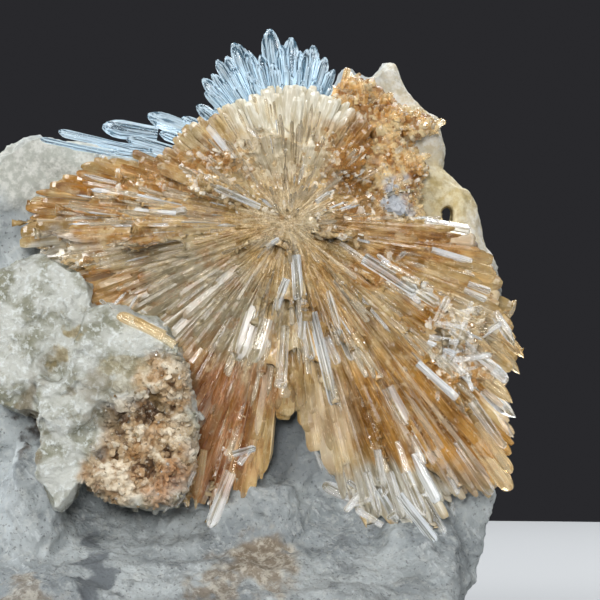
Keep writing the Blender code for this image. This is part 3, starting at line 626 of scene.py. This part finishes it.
def plant(s, given, points, turn, size, chance):
    """The last nodes of both trees: instances picked from the set, tinted, realized and painted."""
    inputs = {"Collection": given["Crystals"], "Separate Children": True, "Reset Children": True}
    chosen = s.add("GeometryNodeCollectionInfo", inputs).outputs[0]
    inputs = {"Points": points, "Instance": chosen, "Pick Instance": True, "Rotation": turn, "Scale": size}
    placed = s.add("GeometryNodeInstanceOnPoints", inputs).outputs[0]
    inputs = {"Geometry": placed, "Name": "tint", "Value": chance(0.0, 1.0, 20)}
    tinted = s.add("GeometryNodeStoreNamedAttribute", inputs, data_type="FLOAT", domain="INSTANCE")
    solid = s.add("GeometryNodeRealizeInstances", {0: tinted.outputs[0]}).outputs[0]
    painted = s.add("GeometryNodeSetMaterial", {"Geometry": solid, "Material": given["Material"]})
    s.tree.links.new(painted.outputs[0], s.add("NodeGroupOutput").inputs[0])
    return s.tree


def aligned(s, aim):
    """The rotation that turns a crystal's length to the aim."""
    return s.add("FunctionNodeAlignRotationToVector", {"Vector": aim}, axis="Z").outputs[0]


def rolled(s, turn, angle):
    """The rotation, after a roll about the crystal's own length."""
    roll = s.add("FunctionNodeAxisAngleToRotation", {"Axis": (0.0, 0.0, 1.0), "Angle": angle}).outputs[0]
    return s.add("FunctionNodeRotateRotation", {0: turn, 1: roll}, rotation_space="LOCAL").outputs[0]


def spray_tree(name, reach_table):
    """Nodes that grow crystals from one heart, over a range of bearings and of lifts off the rock."""
    s, given = new_tree(name, [
        ("Count", "Int"), ("First Bearing", "Float"), ("Last Bearing", "Float"), ("Low Lift", "Float"),
        ("High Lift", "Float"), ("Shortest", "Float"), ("Longest", "Float"), ("Girth", "Float"),
        ("Girth Spread", "Float"), ("Flatness", "Float"), ("Roll", "Float"), ("Root Gap", "Float"),
        ("Stagger", "Float"), ("Stray", "Float"), ("Heart", "Vector"), ("Seed", "Int"),
        ("Crystals", "Collection"), ("Material", "Material"),
    ])
    index = s.add("GeometryNodeInputIndex").outputs[0]

    def chance(low, high, salt):
        inputs = {2: low, 3: high, "ID": index, "Seed": s.math("ADD", given["Seed"], float(salt))}
        return s.add("FunctionNodeRandomValue", inputs, data_type="FLOAT").outputs[1]

    def either_way(spread, salt):
        return chance(s.math("MULTIPLY", spread, -1.0), spread, salt)

    share = s.math("DIVIDE", s.math("ADD", index, chance(0.0, 1.0, 1)), given["Count"])
    width = s.math("SUBTRACT", given["Last Bearing"], given["First Bearing"])
    bearing = s.math("MULTIPLY_ADD", share, width, given["First Bearing"])
    low, high = reach_table[0][0], reach_table[-1][0]
    curve = s.add("ShaderNodeFloatCurve", {"Value": s.span(bearing, low, high, smooth=False)})
    points = curve.mapping.curves[0].points
    for k, (angle, reach) in enumerate(reach_table):
        x, y = (angle - low) / (high - low), reach / LONGEST
        if k in (0, len(reach_table) - 1):
            points[0 if k == 0 else -1].location = (x, y)
        else:
            points.new(x, y)
    for point in points:
        point.handle_type = "VECTOR"
    curve.mapping.update()
    lift = chance(given["Low Lift"], given["High Lift"], 2)
    length = s.math("MULTIPLY", curve.outputs[0], LONGEST * MM)
    length = s.math("MULTIPLY", length, chance(given["Shortest"], given["Longest"], 3))
    around = s.math("RADIANS", s.math("ADD", bearing, either_way(given["Stray"], 10)))
    up = s.math("RADIANS", lift)
    flat = s.math("COSINE", up)
    aim = s.combine(
        s.math("MULTIPLY", s.math("COSINE", around), flat),
        s.math("MULTIPLY", s.math("SINE", up), -1.0),
        s.math("MULTIPLY", s.math("SINE", around), flat),
    )
    girth = s.math("MULTIPLY", s.math("ADD", 1.0, either_way(given["Girth Spread"], 4)), given["Girth"])
    girth = s.math("MULTIPLY", girth, MM)
    start = s.math("MULTIPLY_ADD", given["Stagger"], chance(0.0, 1.0, 5), given["Root Gap"])
    start = s.math("MULTIPLY", start, MM)
    wander = s.combine(chance(-0.5, 0.5, 6), chance(-0.3, 0.3, 7), chance(-0.5, 0.5, 8))
    root = s.vector("ADD", given["Heart"], s.scaled(aim, start))
    root = s.vector("ADD", root, s.scaled(wander, MM))
    long_enough = s.math("MAXIMUM", s.math("SUBTRACT", length, start), SHORTEST_BLADE * MM)
    seeds = s.add("GeometryNodePoints", {"Count": given["Count"], "Position": root}).outputs[0]
    turn = aligned(s, aim)
    facing = {"Rotation": turn, "Vector": tuple(FORWARD)}
    turn = s.add("FunctionNodeAlignRotationToVector", facing, axis="Y", pivot_axis="Z").outputs[0]
    turn = rolled(s, turn, s.math("RADIANS", either_way(given["Roll"], 9)))
    size = s.combine(girth, s.math("MULTIPLY", girth, given["Flatness"]), long_enough)
    return plant(s, given, seeds, turn, size, chance)


def crust_tree(name):
    """Nodes that scatter crystals over a surface where its named attribute says, along rays or outwards."""
    s, given = new_tree(name, [
        ("Surface", "Geometry"), ("Per Square Millimetre", "Float"), ("Shortest", "Float"),
        ("Longest", "Float"), ("Slimness", "Float"), ("Radial", "Float"), ("Outward", "Float"),
        ("Scatter", "Float"), ("Heart", "Vector"), ("Where", "String"), ("Seed", "Int"),
        ("Crystals", "Collection"), ("Material", "Material"),
    ])

    def chance(low, high, salt, kind="FLOAT"):
        first = {"FLOAT": 2, "FLOAT_VECTOR": 0}[kind]
        inputs = {first: low, first + 1: high, "Seed": s.math("ADD", given["Seed"], float(salt))}
        return s.add("FunctionNodeRandomValue", inputs, data_type=kind).outputs[0 if first == 0 else 1]

    where = s.add("GeometryNodeInputNamedAttribute", {"Name": given["Where"]}, data_type="FLOAT").outputs[0]
    density = s.math("MULTIPLY", s.math("MULTIPLY", given["Per Square Millimetre"], 1.0 / MM ** 2), where)
    inputs = {"Mesh": given["Surface"], "Density": density, "Seed": given["Seed"]}
    spread = s.add("GeometryNodeDistributePointsOnFaces", inputs, distribute_method="RANDOM")
    place = s.add("GeometryNodeInputPosition").outputs[0]
    radial = s.vector("NORMALIZE", s.vector("SUBTRACT", place, given["Heart"]))
    aim = s.vector("ADD", s.scaled(radial, given["Radial"]), s.scaled(spread.outputs[1], given["Outward"]))
    stray = chance((-1.0, -1.0, -1.0), (1.0, 1.0, 1.0), 1, "FLOAT_VECTOR")
    aim = s.vector("ADD", aim, s.scaled(stray, given["Scatter"]))
    turn = rolled(s, aligned(s, aim), chance(0.0, FULL_TURN, 2))
    length = s.math("MULTIPLY", chance(given["Shortest"], given["Longest"], 3), MM)
    girth = s.math("DIVIDE", length, s.math("MULTIPLY", given["Slimness"], chance(0.7, 1.3, 4)))
    size = s.combine(girth, girth, length)
    return plant(s, given, spread.outputs[0], turn, size, chance)


def grow(name, tree, host=None, **inputs):
    """Runs a tree once, on the host's surface if it has one, and returns a plain mesh object."""
    mesh = host.data.copy() if host else bpy.data.meshes.new(name)
    holder = bpy.data.objects.new(name, mesh)
    bpy.context.scene.collection.objects.link(holder)
    modifier = holder.modifiers.new(name, "NODES")
    modifier.node_group = tree
    for item in tree.interface.items_tree:
        key = item.name.lower().replace(" ", "_")
        if item.in_out == "INPUT" and key in inputs:
            modifier[item.identifier] = inputs[key]
    holder.data.update()
    return settle(holder)


def settle(obj):
    """Makes the object's evaluated shape its plain mesh, with no modifier left."""
    bpy.context.view_layer.update()
    graph = bpy.context.evaluated_depsgraph_get()
    shaped = obj.evaluated_get(graph)
    mesh = bpy.data.meshes.new_from_object(shaped, preserve_all_data_layers=True, depsgraph=graph)
    obj.modifiers.clear()
    obj.data = mesh
    return obj


def join(name, parts):
    """Joins mesh objects into one, keeping their attributes and materials."""
    bpy.ops.object.select_all(action="DESELECT")
    for part in parts:
        part.select_set(True)
    bpy.context.view_layer.objects.active = parts[0]
    bpy.ops.object.join()
    parts[0].name = name
    parts[0].data.name = name
    return parts[0]


def add_mesh(name, bm):
    """An object in the scene from mesh code, which is used up."""
    mesh = bpy.data.meshes.new(name)
    bm.to_mesh(mesh)
    bm.free()
    obj = bpy.data.objects.new(name, mesh)
    bpy.context.scene.collection.objects.link(obj)
    return obj


def fine_copy(node, name, voxel, eased=3, closed=0.0, cutter=None):
    """The node's solid as a fine, even mesh; closed is how far it swells first, which fills its gaps."""
    bm = bmesh.new()
    bm.from_mesh(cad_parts[node].data)
    bmesh.ops.remove_doubles(bm, verts=bm.verts, dist=0.002 * MM)
    obj = add_mesh(name, bm)
    add = obj.modifiers.new
    if closed:
        settings(add("swell", "DISPLACE"), strength=closed * MM, mid_level=0.0)
    settings(add("melt", "REMESH"), mode="VOXEL", voxel_size=voxel * MM)
    if cutter:
        settings(add("pierce", "BOOLEAN"), operation="DIFFERENCE", solver="MANIFOLD", object=cutter)
    settings(add("ease", "SMOOTH"), factor=0.5, iterations=eased)
    return settle(obj)


def hole_cutter():
    """A ragged rod through the flange, as wide as its hole."""
    rnd = random.Random(4)
    x, z, radius = HOLE
    sides = 9
    bm = bmesh.new()
    rings = []
    for y in (-9.0, 12.0):
        ring = []
        for k in range(sides):
            angle = k * 2 * math.pi / sides
            away = radius * rnd.uniform(0.8, 1.3)
            corner = Vector((x + away * math.cos(angle), y, z + away * math.sin(angle)))
            ring.append(bm.verts.new(corner * MM))
        rings.append(ring)
    near, far = rings
    for k in range(sides):
        n = (k + 1) % sides
        bm.faces.new((near[k], near[n], far[n], far[k]))
    bm.faces.new(near[::-1])
    bm.faces.new(far)
    bmesh.ops.recalc_face_normals(bm, faces=bm.faces)
    return add_mesh("hole_cutter", bm)


def hill(place, size, octaves=4):
    """Noise from about -1 to 1 whose hills are that many millimetres wide."""
    return noise.fractal(place / size, 0.9, 2.1, octaves, noise_basis="PERLIN_ORIGINAL")


def crag(place, size, octaves=4):
    """Noise with sharp crests, for broken stone."""
    crests = noise.ridged_multi_fractal(
        place / size, 0.9, 2.1, octaves, 1.0, 2.0, noise_basis="PERLIN_ORIGINAL",
    )
    return crests - 1.0


def cobble(place, size):
    """Rounded grains with deep seams between them, from -1 in a seam to 1 on a grain."""
    near_one, near_two = noise.voronoi(place / size)[0][:2]
    return min(1.0, 3.0 * (near_two - near_one)) - 0.9 * near_one


def each_point(obj, name):
    """A new attribute's slots beside the points and the normals that they belong to."""
    normals = [Vector(n.vector) for n in obj.data.vertex_normals]
    layer = obj.data.attributes.new(name, "FLOAT", "POINT")
    return zip(layer.data, obj.data.vertices, normals)


def carve(obj, depth_at):
    """Moves each point along its normal by depth_at(place) in millimetres, and notes that as its crest."""
    for slot, vert, normal in each_point(obj, "crest"):
        slot.value = depth_at(vert.co / MM)
        vert.co += normal * slot.value * MM
    obj.data.update()
    for face in obj.data.polygons:
        face.use_smooth = True


def mark(obj, name, share_at):
    """Stores share_at(place, normal) on each point, for the nodes that scatter crystals."""
    for slot, vert, normal in each_point(obj, name):
        slot.value = share_at(vert.co / MM, normal)


def held(value):
    """The value, held between 0 and 1."""
    return min(1.0, max(0.0, value))


def within(place, patches):
    """How far a place is inside the listed patches of the front: 0 outside, 1 well inside."""
    shift = 1.1 * hill(place, 2.2, 3)
    best = 0.0
    for (x, z), (wide, high), strength in patches:
        away = math.hypot((place.x + shift - x) / wide, (place.z + shift - z) / high)
        best = max(best, strength * held((1.2 - away) / 0.6))
    return best


def dress(obj, material, slot, *replaced):
    """Gives a piece its one material, puts it under the root body and hides the nodes that it replaces; its
    slot is not used.
    """
    obj.data.materials.clear()
    obj.data.materials.append(material)
    return belong(obj, slot, *replaced)


def lit_through(obj):
    """Clear crystal lets the light reach what is under it."""
    obj.visible_shadow = False
    return obj


def belong(obj, slot, *replaced):
    """A piece of the specimen, put under the root body, with the nodes that it stands for hidden; its slot
    is not used.
    """
    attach(obj, ROOT_BODY)
    if replaced:
        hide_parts(*replaced)
    return obj


def make_rock(cutter):
    """The host rock: broken stone with faint bedding, a thin flange and a peak drawn out above it."""
    rock = fine_copy("matrix_rock", "weathered_rock", ROCK_VOXEL, eased=1, cutter=cutter)

    def depth(place):
        foot = min(1.0, place.z / FOOT_EASE)
        layers = 0.0
        if place.z < BEDDING_TOP:
            layers = 0.07 * math.sin((place.z + 1.6 * hill(place, 9.0, 2)) * 2.6)
        thin = 0.35 if place.x > FLANGE[0] and place.z > FLANGE[1] else 1.0
        return foot * thin * (0.30 * crag(place, 3.0, 5) + layers + 0.22 * hill(place, 0.9, 4) - 0.08)

    carve(rock, depth)
    for vert in rock.data.vertices:
        height = vert.co.z / MM - PEAK[1]
        if height > 0.0:
            vert.co.z += PEAK_STRETCH * height * held(vert.co.x / MM - PEAK[0]) * MM
    return dress(rock, matrix_stone(), "matrix_rock", "matrix_rock")


def crumbs(place):
    """Relief of a crumbly mass, in millimetres."""
    return 0.36 * hill(place, 1.6, 4) + 0.40 * crag(place, 1.3, 5) + 0.10 * cobble(place, 0.8) + 0.05


def make_lump(grains, grit):
    """The chalky lump, with its crumbly belly and the grains on it."""
    lump = fine_copy("chalky_lump", "weathered_lump", LUMP_VOXEL)
    chalk = chalk_stone()

    def depth(place):
        belly = within(place, BELLY)
        hollow = within(place, LUMP_SHADED_HOLLOWS)
        smooth = 0.20 * crag(place, 2.4, 4) + 0.07 * hill(place, 0.6, 3)
        return smooth * (1.0 - belly) + crumbs(place) * belly - 0.5 * hollow - 0.05

    carve(lump, depth)
    mark(lump, "sugar", lambda place, normal: within(place, BELLY) * max(0.0, -normal.y + 0.3))
    on_lump = crust_tree("grit on the lump")
    loose = {"radial": 0.0, "where": "sugar", "crystals": grains}
    grown = [
        grow("lump_grit", on_lump, lump, **loose, per_square_millimetre=0.9, shortest=0.15, longest=0.34,
             slimness=1.3, outward=1.0, scatter=0.8, seed=5, material=grit),
        grow("lump crumbs", on_lump, lump, **loose, per_square_millimetre=5.0, shortest=0.20, longest=0.75,
             slimness=1.4, outward=0.7, scatter=1.0, seed=15, material=chalk),
    ]
    belong(join("lump_grit", grown), "chalky_lump")
    return dress(lump, chalk, "chalky_lump", "chalky_lump")


def make_crust(grains, prisms, grit, honey):
    """The rusty crust, with the druse, crumbs and stout prisms on it."""
    crust = fine_copy("rusty_crust", "grainy_crust", CRUST_VOXEL)
    rusty = rusty_grains()
    carve(crust, lambda place: 1.1 * crumbs(place))
    mark(crust, "sugar", lambda place, normal: max(0.0, -normal.y + 0.4))
    on_crust = crust_tree("druse on the crust")
    grown = [
        grow("crust_druse", on_crust, crust, per_square_millimetre=1.3, shortest=0.15, longest=0.6,
             slimness=1.6, radial=0.3, outward=0.8, scatter=0.7, where="sugar", seed=6, crystals=grains,
             material=grit),
        grow("crust crumbs", on_crust, crust, per_square_millimetre=2.8, shortest=0.25, longest=0.8,
             slimness=1.7, radial=0.2, outward=0.7, scatter=0.9, where="sugar", seed=16, crystals=grains,
             material=rusty),
        grow("crust prisms", on_crust, crust, per_square_millimetre=0.3, shortest=0.9, longest=1.8,
             slimness=2.8, radial=0.3, outward=0.2, scatter=0.8, where="sugar", seed=17, crystals=prisms,
             material=honey),
    ]
    lit_through(belong(join("crust_druse", grown), "rusty_crust"))
    return dress(crust, rusty, "rusty_crust", "rusty_crust")


def reach_at(place):
    """How far the spray goes from its heart at this place's bearing, in millimetres."""
    bearing = math.degrees(math.atan2(place.z - HEART.z, place.x - HEART.x))
    table = LEFT_REACH
    if -166 < bearing < 38:
        table = ARM_REACH
    elif 38 <= bearing < 154:
        table = DOME_REACH
    elif bearing < 0:
        bearing += 360
    for (low, near), (high, far) in zip(table, table[1:]):
        if low <= bearing <= high:
            return near + (far - near) * (bearing - low) / (high - low)
    return table[0][1]


def make_spray_body(material, cutter):
    """The fused mass of the spray: its solid, gaps filled, ridged along its rays, rough in its jumbles."""
    body = fine_copy("main_spray", "spray_body", SPRAY_VOXEL, eased=5, closed=SPRAY_GAPS, cutter=cutter)

    def depth(place):
        away = place - HEART
        reach = max(0.5, away.length)
        ray = away / reach
        ridges = noise.noise(ray * 26 + Vector((0.0, 0.0, reach / 12))) + 0.7 * noise.noise(ray * 60)
        rough = within(place, SUGAR)
        return (0.15 * ridges - 0.58) * (1.0 - rough) + (0.9 * crumbs(place) - 0.45) * rough

    carve(body, depth)
    mark(body, "sugar", lambda place, normal: within(place, SUGAR) * held(0.5 - normal.y))

    def front(place, normal):
        inside = (place - HEART).length / reach_at(place)
        granular = within(place, STAINS["flange"])
        rough = 1.0 - 0.8 * within(place, SUGAR)
        return held(0.2 - normal.y) * rough * held((NEEDLES_END - inside) * 8.0) * (1.0 - granular)

    mark(body, "front", front)
    mark(body, "jumble", lambda place, normal: within(place, JUMBLE) * held(0.3 - normal.y))
    mark(body, "outer", lambda place, normal: within(place, OUTER) * front(place, normal))
    return dress(body, material, "main_spray", "main_spray")


def make_blades(kinds, stained, glassy):
    """Blades side by side at the spray's edges, and the rosette of short crystals at its heart."""
    arms = spray_tree("crystal arms", ARM_REACH)
    dome = spray_tree("crystal dome", DOME_REACH)
    left = spray_tree("left arm", LEFT_REACH)
    wedges, blunt = kinds["wedges"], kinds["blunt wedges"]
    slim, short = kinds["slim crystals"], kinds["short crystals"]

    low, middle, high = [(HEART + FORWARD * height) * MM for height in (0.6, 1.7, 2.6)]
    plain = {
        "girth_spread": 0.5, "flatness": 0.6, "roll": 12.0, "root_gap": 0.3, "stagger": 0.6, "stray": 0.0,
        "material": glassy,
    }
    rims = [
        grow("rim blades", arms, **plain | dict(
            count=140, first_bearing=-164.0, last_bearing=-3.0, low_lift=-1.0, high_lift=2.0,
            shortest=0.93, longest=1.0, girth=1.35, heart=low, seed=11, crystals=wedges, material=stained)),
        grow("dome blades", dome, **plain | dict(
            count=170, first_bearing=50.0, last_bearing=158.0, low_lift=6.0, high_lift=7.2,
            shortest=0.97, longest=0.99, girth=0.75, flatness=0.35, heart=middle, seed=16, crystals=blunt,
            material=stained)),
        grow("left rim blades", left, **plain | dict(
            count=60, first_bearing=155.0, last_bearing=215.0, low_lift=0.0, high_lift=2.0,
            shortest=0.93, longest=1.0, girth=1.1, heart=low, seed=19, crystals=wedges, material=stained)),
    ]
    inner = [
        grow("middle blades", arms, **plain | dict(
            count=220, first_bearing=-164.0, last_bearing=-5.0, low_lift=0.0, high_lift=2.4,
            shortest=0.76, longest=0.99, girth=0.95, stray=2.0, heart=middle, seed=12, crystals=wedges)),
        grow("front blades", arms, **plain | dict(
            count=280, first_bearing=-164.0, last_bearing=-6.0, low_lift=-0.5, high_lift=2.2,
            shortest=0.45, longest=0.95, girth=0.58, stray=3.5, heart=high, seed=13, crystals=wedges)),
        grow("left blades", left, **plain | dict(
            count=130, first_bearing=155.0, last_bearing=214.0, low_lift=0.0, high_lift=2.0,
            shortest=0.60, longest=0.98, girth=0.7, stray=2.0, heart=middle, seed=20, crystals=wedges)),
        grow("rosette", arms, **plain | dict(
            count=110, first_bearing=-166.0, last_bearing=194.0, low_lift=14.0, high_lift=60.0,
            shortest=0.08, longest=0.20, girth=0.30, roll=90.0, heart=middle, seed=23, crystals=short)),
        grow("short rays", arms, **plain | dict(
            count=260, first_bearing=-166.0, last_bearing=194.0, low_lift=2.0, high_lift=16.0,
            shortest=0.14, longest=0.42, girth=0.30, roll=90.0, heart=high, seed=24, crystals=slim)),
    ]
    belong(join("creedite_rims", rims), "main_spray")
    return lit_through(belong(join("creedite_blades", inner), "main_spray"))


def make_sugar(body, kinds, grit, stones):
    """Small broken crystals on the spray, and the thin clear needles that lie along its rays."""
    grains, needles, prisms = kinds["grains"], kinds["thin needles"], kinds["prisms"]
    on_body = crust_tree("crystals on the spray")
    strewn = {"radial": 0.6, "outward": 0.7, "scatter": 0.8, "heart": HEART * MM}
    lying = {"slimness": 12.0, "radial": 1.0, "outward": 0.06, "scatter": 0.03, "heart": HEART * MM}
    grown = [
        grow("sugar", on_body, body, **strewn | dict(
            per_square_millimetre=7.0, shortest=0.25, longest=0.9, slimness=2.0, where="sugar", seed=7,
            crystals=grains, material=grit)),
        grow("dust", on_body, body, **strewn | dict(
            per_square_millimetre=2.2, shortest=0.12, longest=0.32, slimness=1.3, where="front", seed=8,
            crystals=grains, material=grit)),
        grow("clear needles", on_body, body, **lying | dict(
            per_square_millimetre=0.9, shortest=1.6, longest=5.0, where="front", seed=9,
            crystals=needles, material=stones["thin"])),
        grow("white needles", on_body, body, **lying | dict(
            per_square_millimetre=0.16, shortest=1.2, longest=4.0, slimness=17.0, where="front", seed=10,
            crystals=needles, material=stones["white"])),
        grow("outer prisms", on_body, body, **lying | dict(
            per_square_millimetre=0.45, shortest=2.0, longest=4.2, slimness=6.0, scatter=0.22, outward=0.12,
            where="outer", seed=11, crystals=prisms, material=stones["clear"])),
        grow("crossing prisms", on_body, body, **strewn | dict(
            per_square_millimetre=0.45, shortest=1.5, longest=3.2, slimness=5.5, outward=0.2, scatter=1.1,
            where="jumble", seed=12, crystals=prisms, material=stones["clear"])),
    ]
    return lit_through(belong(join("spray_sugar", grown), "main_spray"))


def placed_crystal(root, point, girth, end, rnd, material, flat=0.75, root_share=0.9, turned=0.0):
    """One modelled crystal from its root to its point, in millimetres, its broad side to the front."""
    aim = point - root
    mesh = crystal_mesh("crystal", rnd, aim.length / girth, end, 6, root_share)
    axis = aim.normalized()
    front = (FORWARD - axis * axis.dot(FORWARD)).normalized()
    side = front.cross(axis)
    turn = Matrix((side, front, axis)).transposed().to_4x4()
    mesh.transform(
        Matrix.Translation(root * MM)
        @ turn
        @ Matrix.Rotation(turned + rnd.uniform(-0.25, 0.25), 4, "Z")
        @ Matrix.Diagonal((girth * MM, girth * flat * MM, aim.length * MM, 1.0))
    )
    tint = mesh.attributes.new("tint", "FLOAT", "POINT")
    own = rnd.random()
    for slot in tint.data:
        slot.value = own
    mesh.materials.append(material)
    obj = bpy.data.objects.new("crystal", mesh)
    bpy.context.scene.collection.objects.link(obj)
    return obj


def front_of(carriers):
    """A function that gives how far forward the carriers reach at x and z, all in millimetres."""
    whole = bmesh.new()
    for carrier in carriers:
        whole.from_mesh(carrier.data)
    surface = BVHTree.FromBMesh(whole)
    whole.free()

    def front(x, z):
        hit = surface.ray_cast(Vector((x * MM, -0.1, z * MM)), -FORWARD)[0]
        return hit.y / MM if hit else None

    return front


def resting_line(met, girth):
    """Where a prism's root and point lie, in y, to rest on the surface levels met along it."""
    mean_share = sum(share for share, level in met) / len(met)
    mean_level = sum(level for share, level in met) / len(met)
    spread = sum((share - mean_share) ** 2 for share, level in met)
    slope = sum((share - mean_share) * (level - mean_level) for share, level in met) / max(spread, 0.05)
    slope = max(-2.0, min(1.0, slope))
    root_y = mean_level - slope * mean_share
    buried = max(root_y + slope * share - level for share, level in met)
    root_y -= min(max(0.0, buried), 0.8 * girth)
    return root_y, root_y + slope - 0.2 * girth


def make_standing_prisms(carriers, stones):
    """The single crystals that the eye picks out, each laid on whatever carries it."""
    rnd = random.Random(31)
    front = front_of(carriers)
    parts = []
    for start, finish, girth_pixels, end, stone in STANDING_PRISMS:
        girth = girth_pixels * PIXEL
        (x0, z0), (x1, z1) = at_pixel(*start), at_pixel(*finish)
        shares = [k / 5 for k in range(6)]
        levels = [(share, front(x0 + (x1 - x0) * share, z0 + (z1 - z0) * share)) for share in shares]
        met = [(share, level) for share, level in levels if level is not None]
        root_y, point_y = resting_line(met or [(0.0, HEART.y)], girth)
        root = Vector((x0, root_y, z0))
        point = Vector((x1, point_y, z1))
        parts.append(placed_crystal(root, point, girth, end, rnd, stones[stone], turned=math.pi / 6))
    return lit_through(belong(join("standing_prisms", parts), "main_spray"))


def make_clear_fan(ice):
    """Clear blades that stand behind the dome, and the prisms along the rock's left ridge."""
    rnd = random.Random(8)
    parts = []

    def blade(root, point, girth):
        parts.append(placed_crystal(root, point, girth, "gothic", rnd, ice, 0.6, 0.8))

    for k, (pixel, girth_pixels, start) in enumerate(FAN_BLADES):
        girth = girth_pixels * PIXEL
        x, z = at_pixel(*pixel)
        point = Vector((x, REAR_HEART.y - 0.4 * (k % 3), z))
        way = point - REAR_HEART
        blade(REAR_HEART + way * start, point, girth)
        for side, share in ((-1, 0.90), (1, 0.83), (0, 0.76)):
            across = Vector((-way.z, 0.0, way.x)).normalized() * side * girth * rnd.uniform(0.35, 0.55)
            forward = Vector((0.0, -0.35 - 0.35 * (side == 0), 0.0))
            tip = REAR_HEART + way * (share + rnd.uniform(-0.03, 0.03)) + across + forward
            blade(REAR_HEART + way * start + across * 0.6 + forward, tip, girth * rnd.uniform(0.5, 0.7))
    for k, (start, finish, girth_pixels) in enumerate(RIDGE_PRISMS):
        (x0, z0), (x1, z1) = at_pixel(*start), at_pixel(*finish)
        y = REAR_HEART.y - 0.5 * (k % 3) - 0.3
        blade(Vector((x0, y, z0)), Vector((x1, y - 0.2, z1)), girth_pixels * PIXEL)
    fan = join("clear_fan_crystals", parts)
    return lit_through(belong(fan, "clear_fan", "clear_fan"))


def make_floor():
    bm = bmesh.new()
    bmesh.ops.create_circle(bm, cap_ends=True, segments=96, radius=FLOOR_RADIUS * MM)
    floor = add_mesh("floor", bm)
    p = Paint("plain pale floor")
    floor.data.materials.append(p.finish(base_color=FLOOR_GREY, roughness=0.7))


def add_light(name, place, size, power, tint):
    """A soft round light that faces the specimen."""
    light = bpy.data.lights.new(name, "AREA")
    light.shape = "DISK"
    light.size = size * MM
    light.energy = power
    light.color = tint
    obj = bpy.data.objects.new(name, light)
    obj.location = Vector(place) * MM
    obj.rotation_euler = (Vector(place) - LIT_POINT).to_track_quat("Z", "Y").to_euler()
    bpy.context.scene.collection.objects.link(obj)


def make_studio():
    for name, light in LIGHTS.items():
        add_light(name, *light)
    world = bpy.data.worlds.new("studio")
    world.use_nodes = True
    world.node_tree.nodes["Background"].inputs["Color"].default_value = DIM_AIR
    bpy.context.scene.world = world
    bpy.context.scene.view_settings.view_transform = "Standard"


def make_camera():
    camera = bpy.data.cameras.new("camera")
    camera.lens = SENSOR * CAMERA_DISTANCE / (PHOTO_WIDTH * PIXEL)
    camera.sensor_width = SENSOR
    camera.clip_start = 0.01
    camera.clip_end = 10.0
    obj = bpy.data.objects.new("camera", camera)
    x, z = at_pixel(PHOTO_WIDTH / 2, PHOTO_WIDTH / 2)
    obj.location = Vector((x, -CAMERA_DISTANCE, z)) * MM
    obj.rotation_euler = Euler((math.pi / 2, 0.0, 0.0))
    bpy.context.scene.collection.objects.link(obj)
    bpy.context.scene.camera = obj


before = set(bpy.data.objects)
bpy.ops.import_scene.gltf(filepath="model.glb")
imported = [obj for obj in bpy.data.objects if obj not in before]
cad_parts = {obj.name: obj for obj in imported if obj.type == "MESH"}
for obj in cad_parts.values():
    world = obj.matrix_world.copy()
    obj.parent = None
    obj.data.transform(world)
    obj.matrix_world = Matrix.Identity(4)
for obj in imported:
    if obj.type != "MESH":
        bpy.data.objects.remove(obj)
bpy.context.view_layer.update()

make_camera()
make_studio()
make_floor()

stained = stained_crystal("streaked creedite", 0.26, 0.10)
glassy = stained_crystal("glassy streaked creedite", 0.20, 0.44)
grit = gritty_crystal("broken creedite")
stones = {kind: clear_crystal(*stone) for kind, stone in STONES.items()}
kinds = {name: crystal_set(name, *kind) for name, kind in KINDS.items()}

cutter = hole_cutter()
rock = make_rock(cutter)
lump = make_lump(kinds["grains"], grit)
make_crust(kinds["grains"], kinds["prisms"], grit, stones["honey"])
body = make_spray_body(stained, cutter)
bpy.data.objects.remove(cutter)
blades = make_blades(kinds, stained, glassy)
make_sugar(body, kinds, grit, stones)
make_clear_fan(stones["ice"])
make_standing_prisms([rock, lump, body, blades], stones)
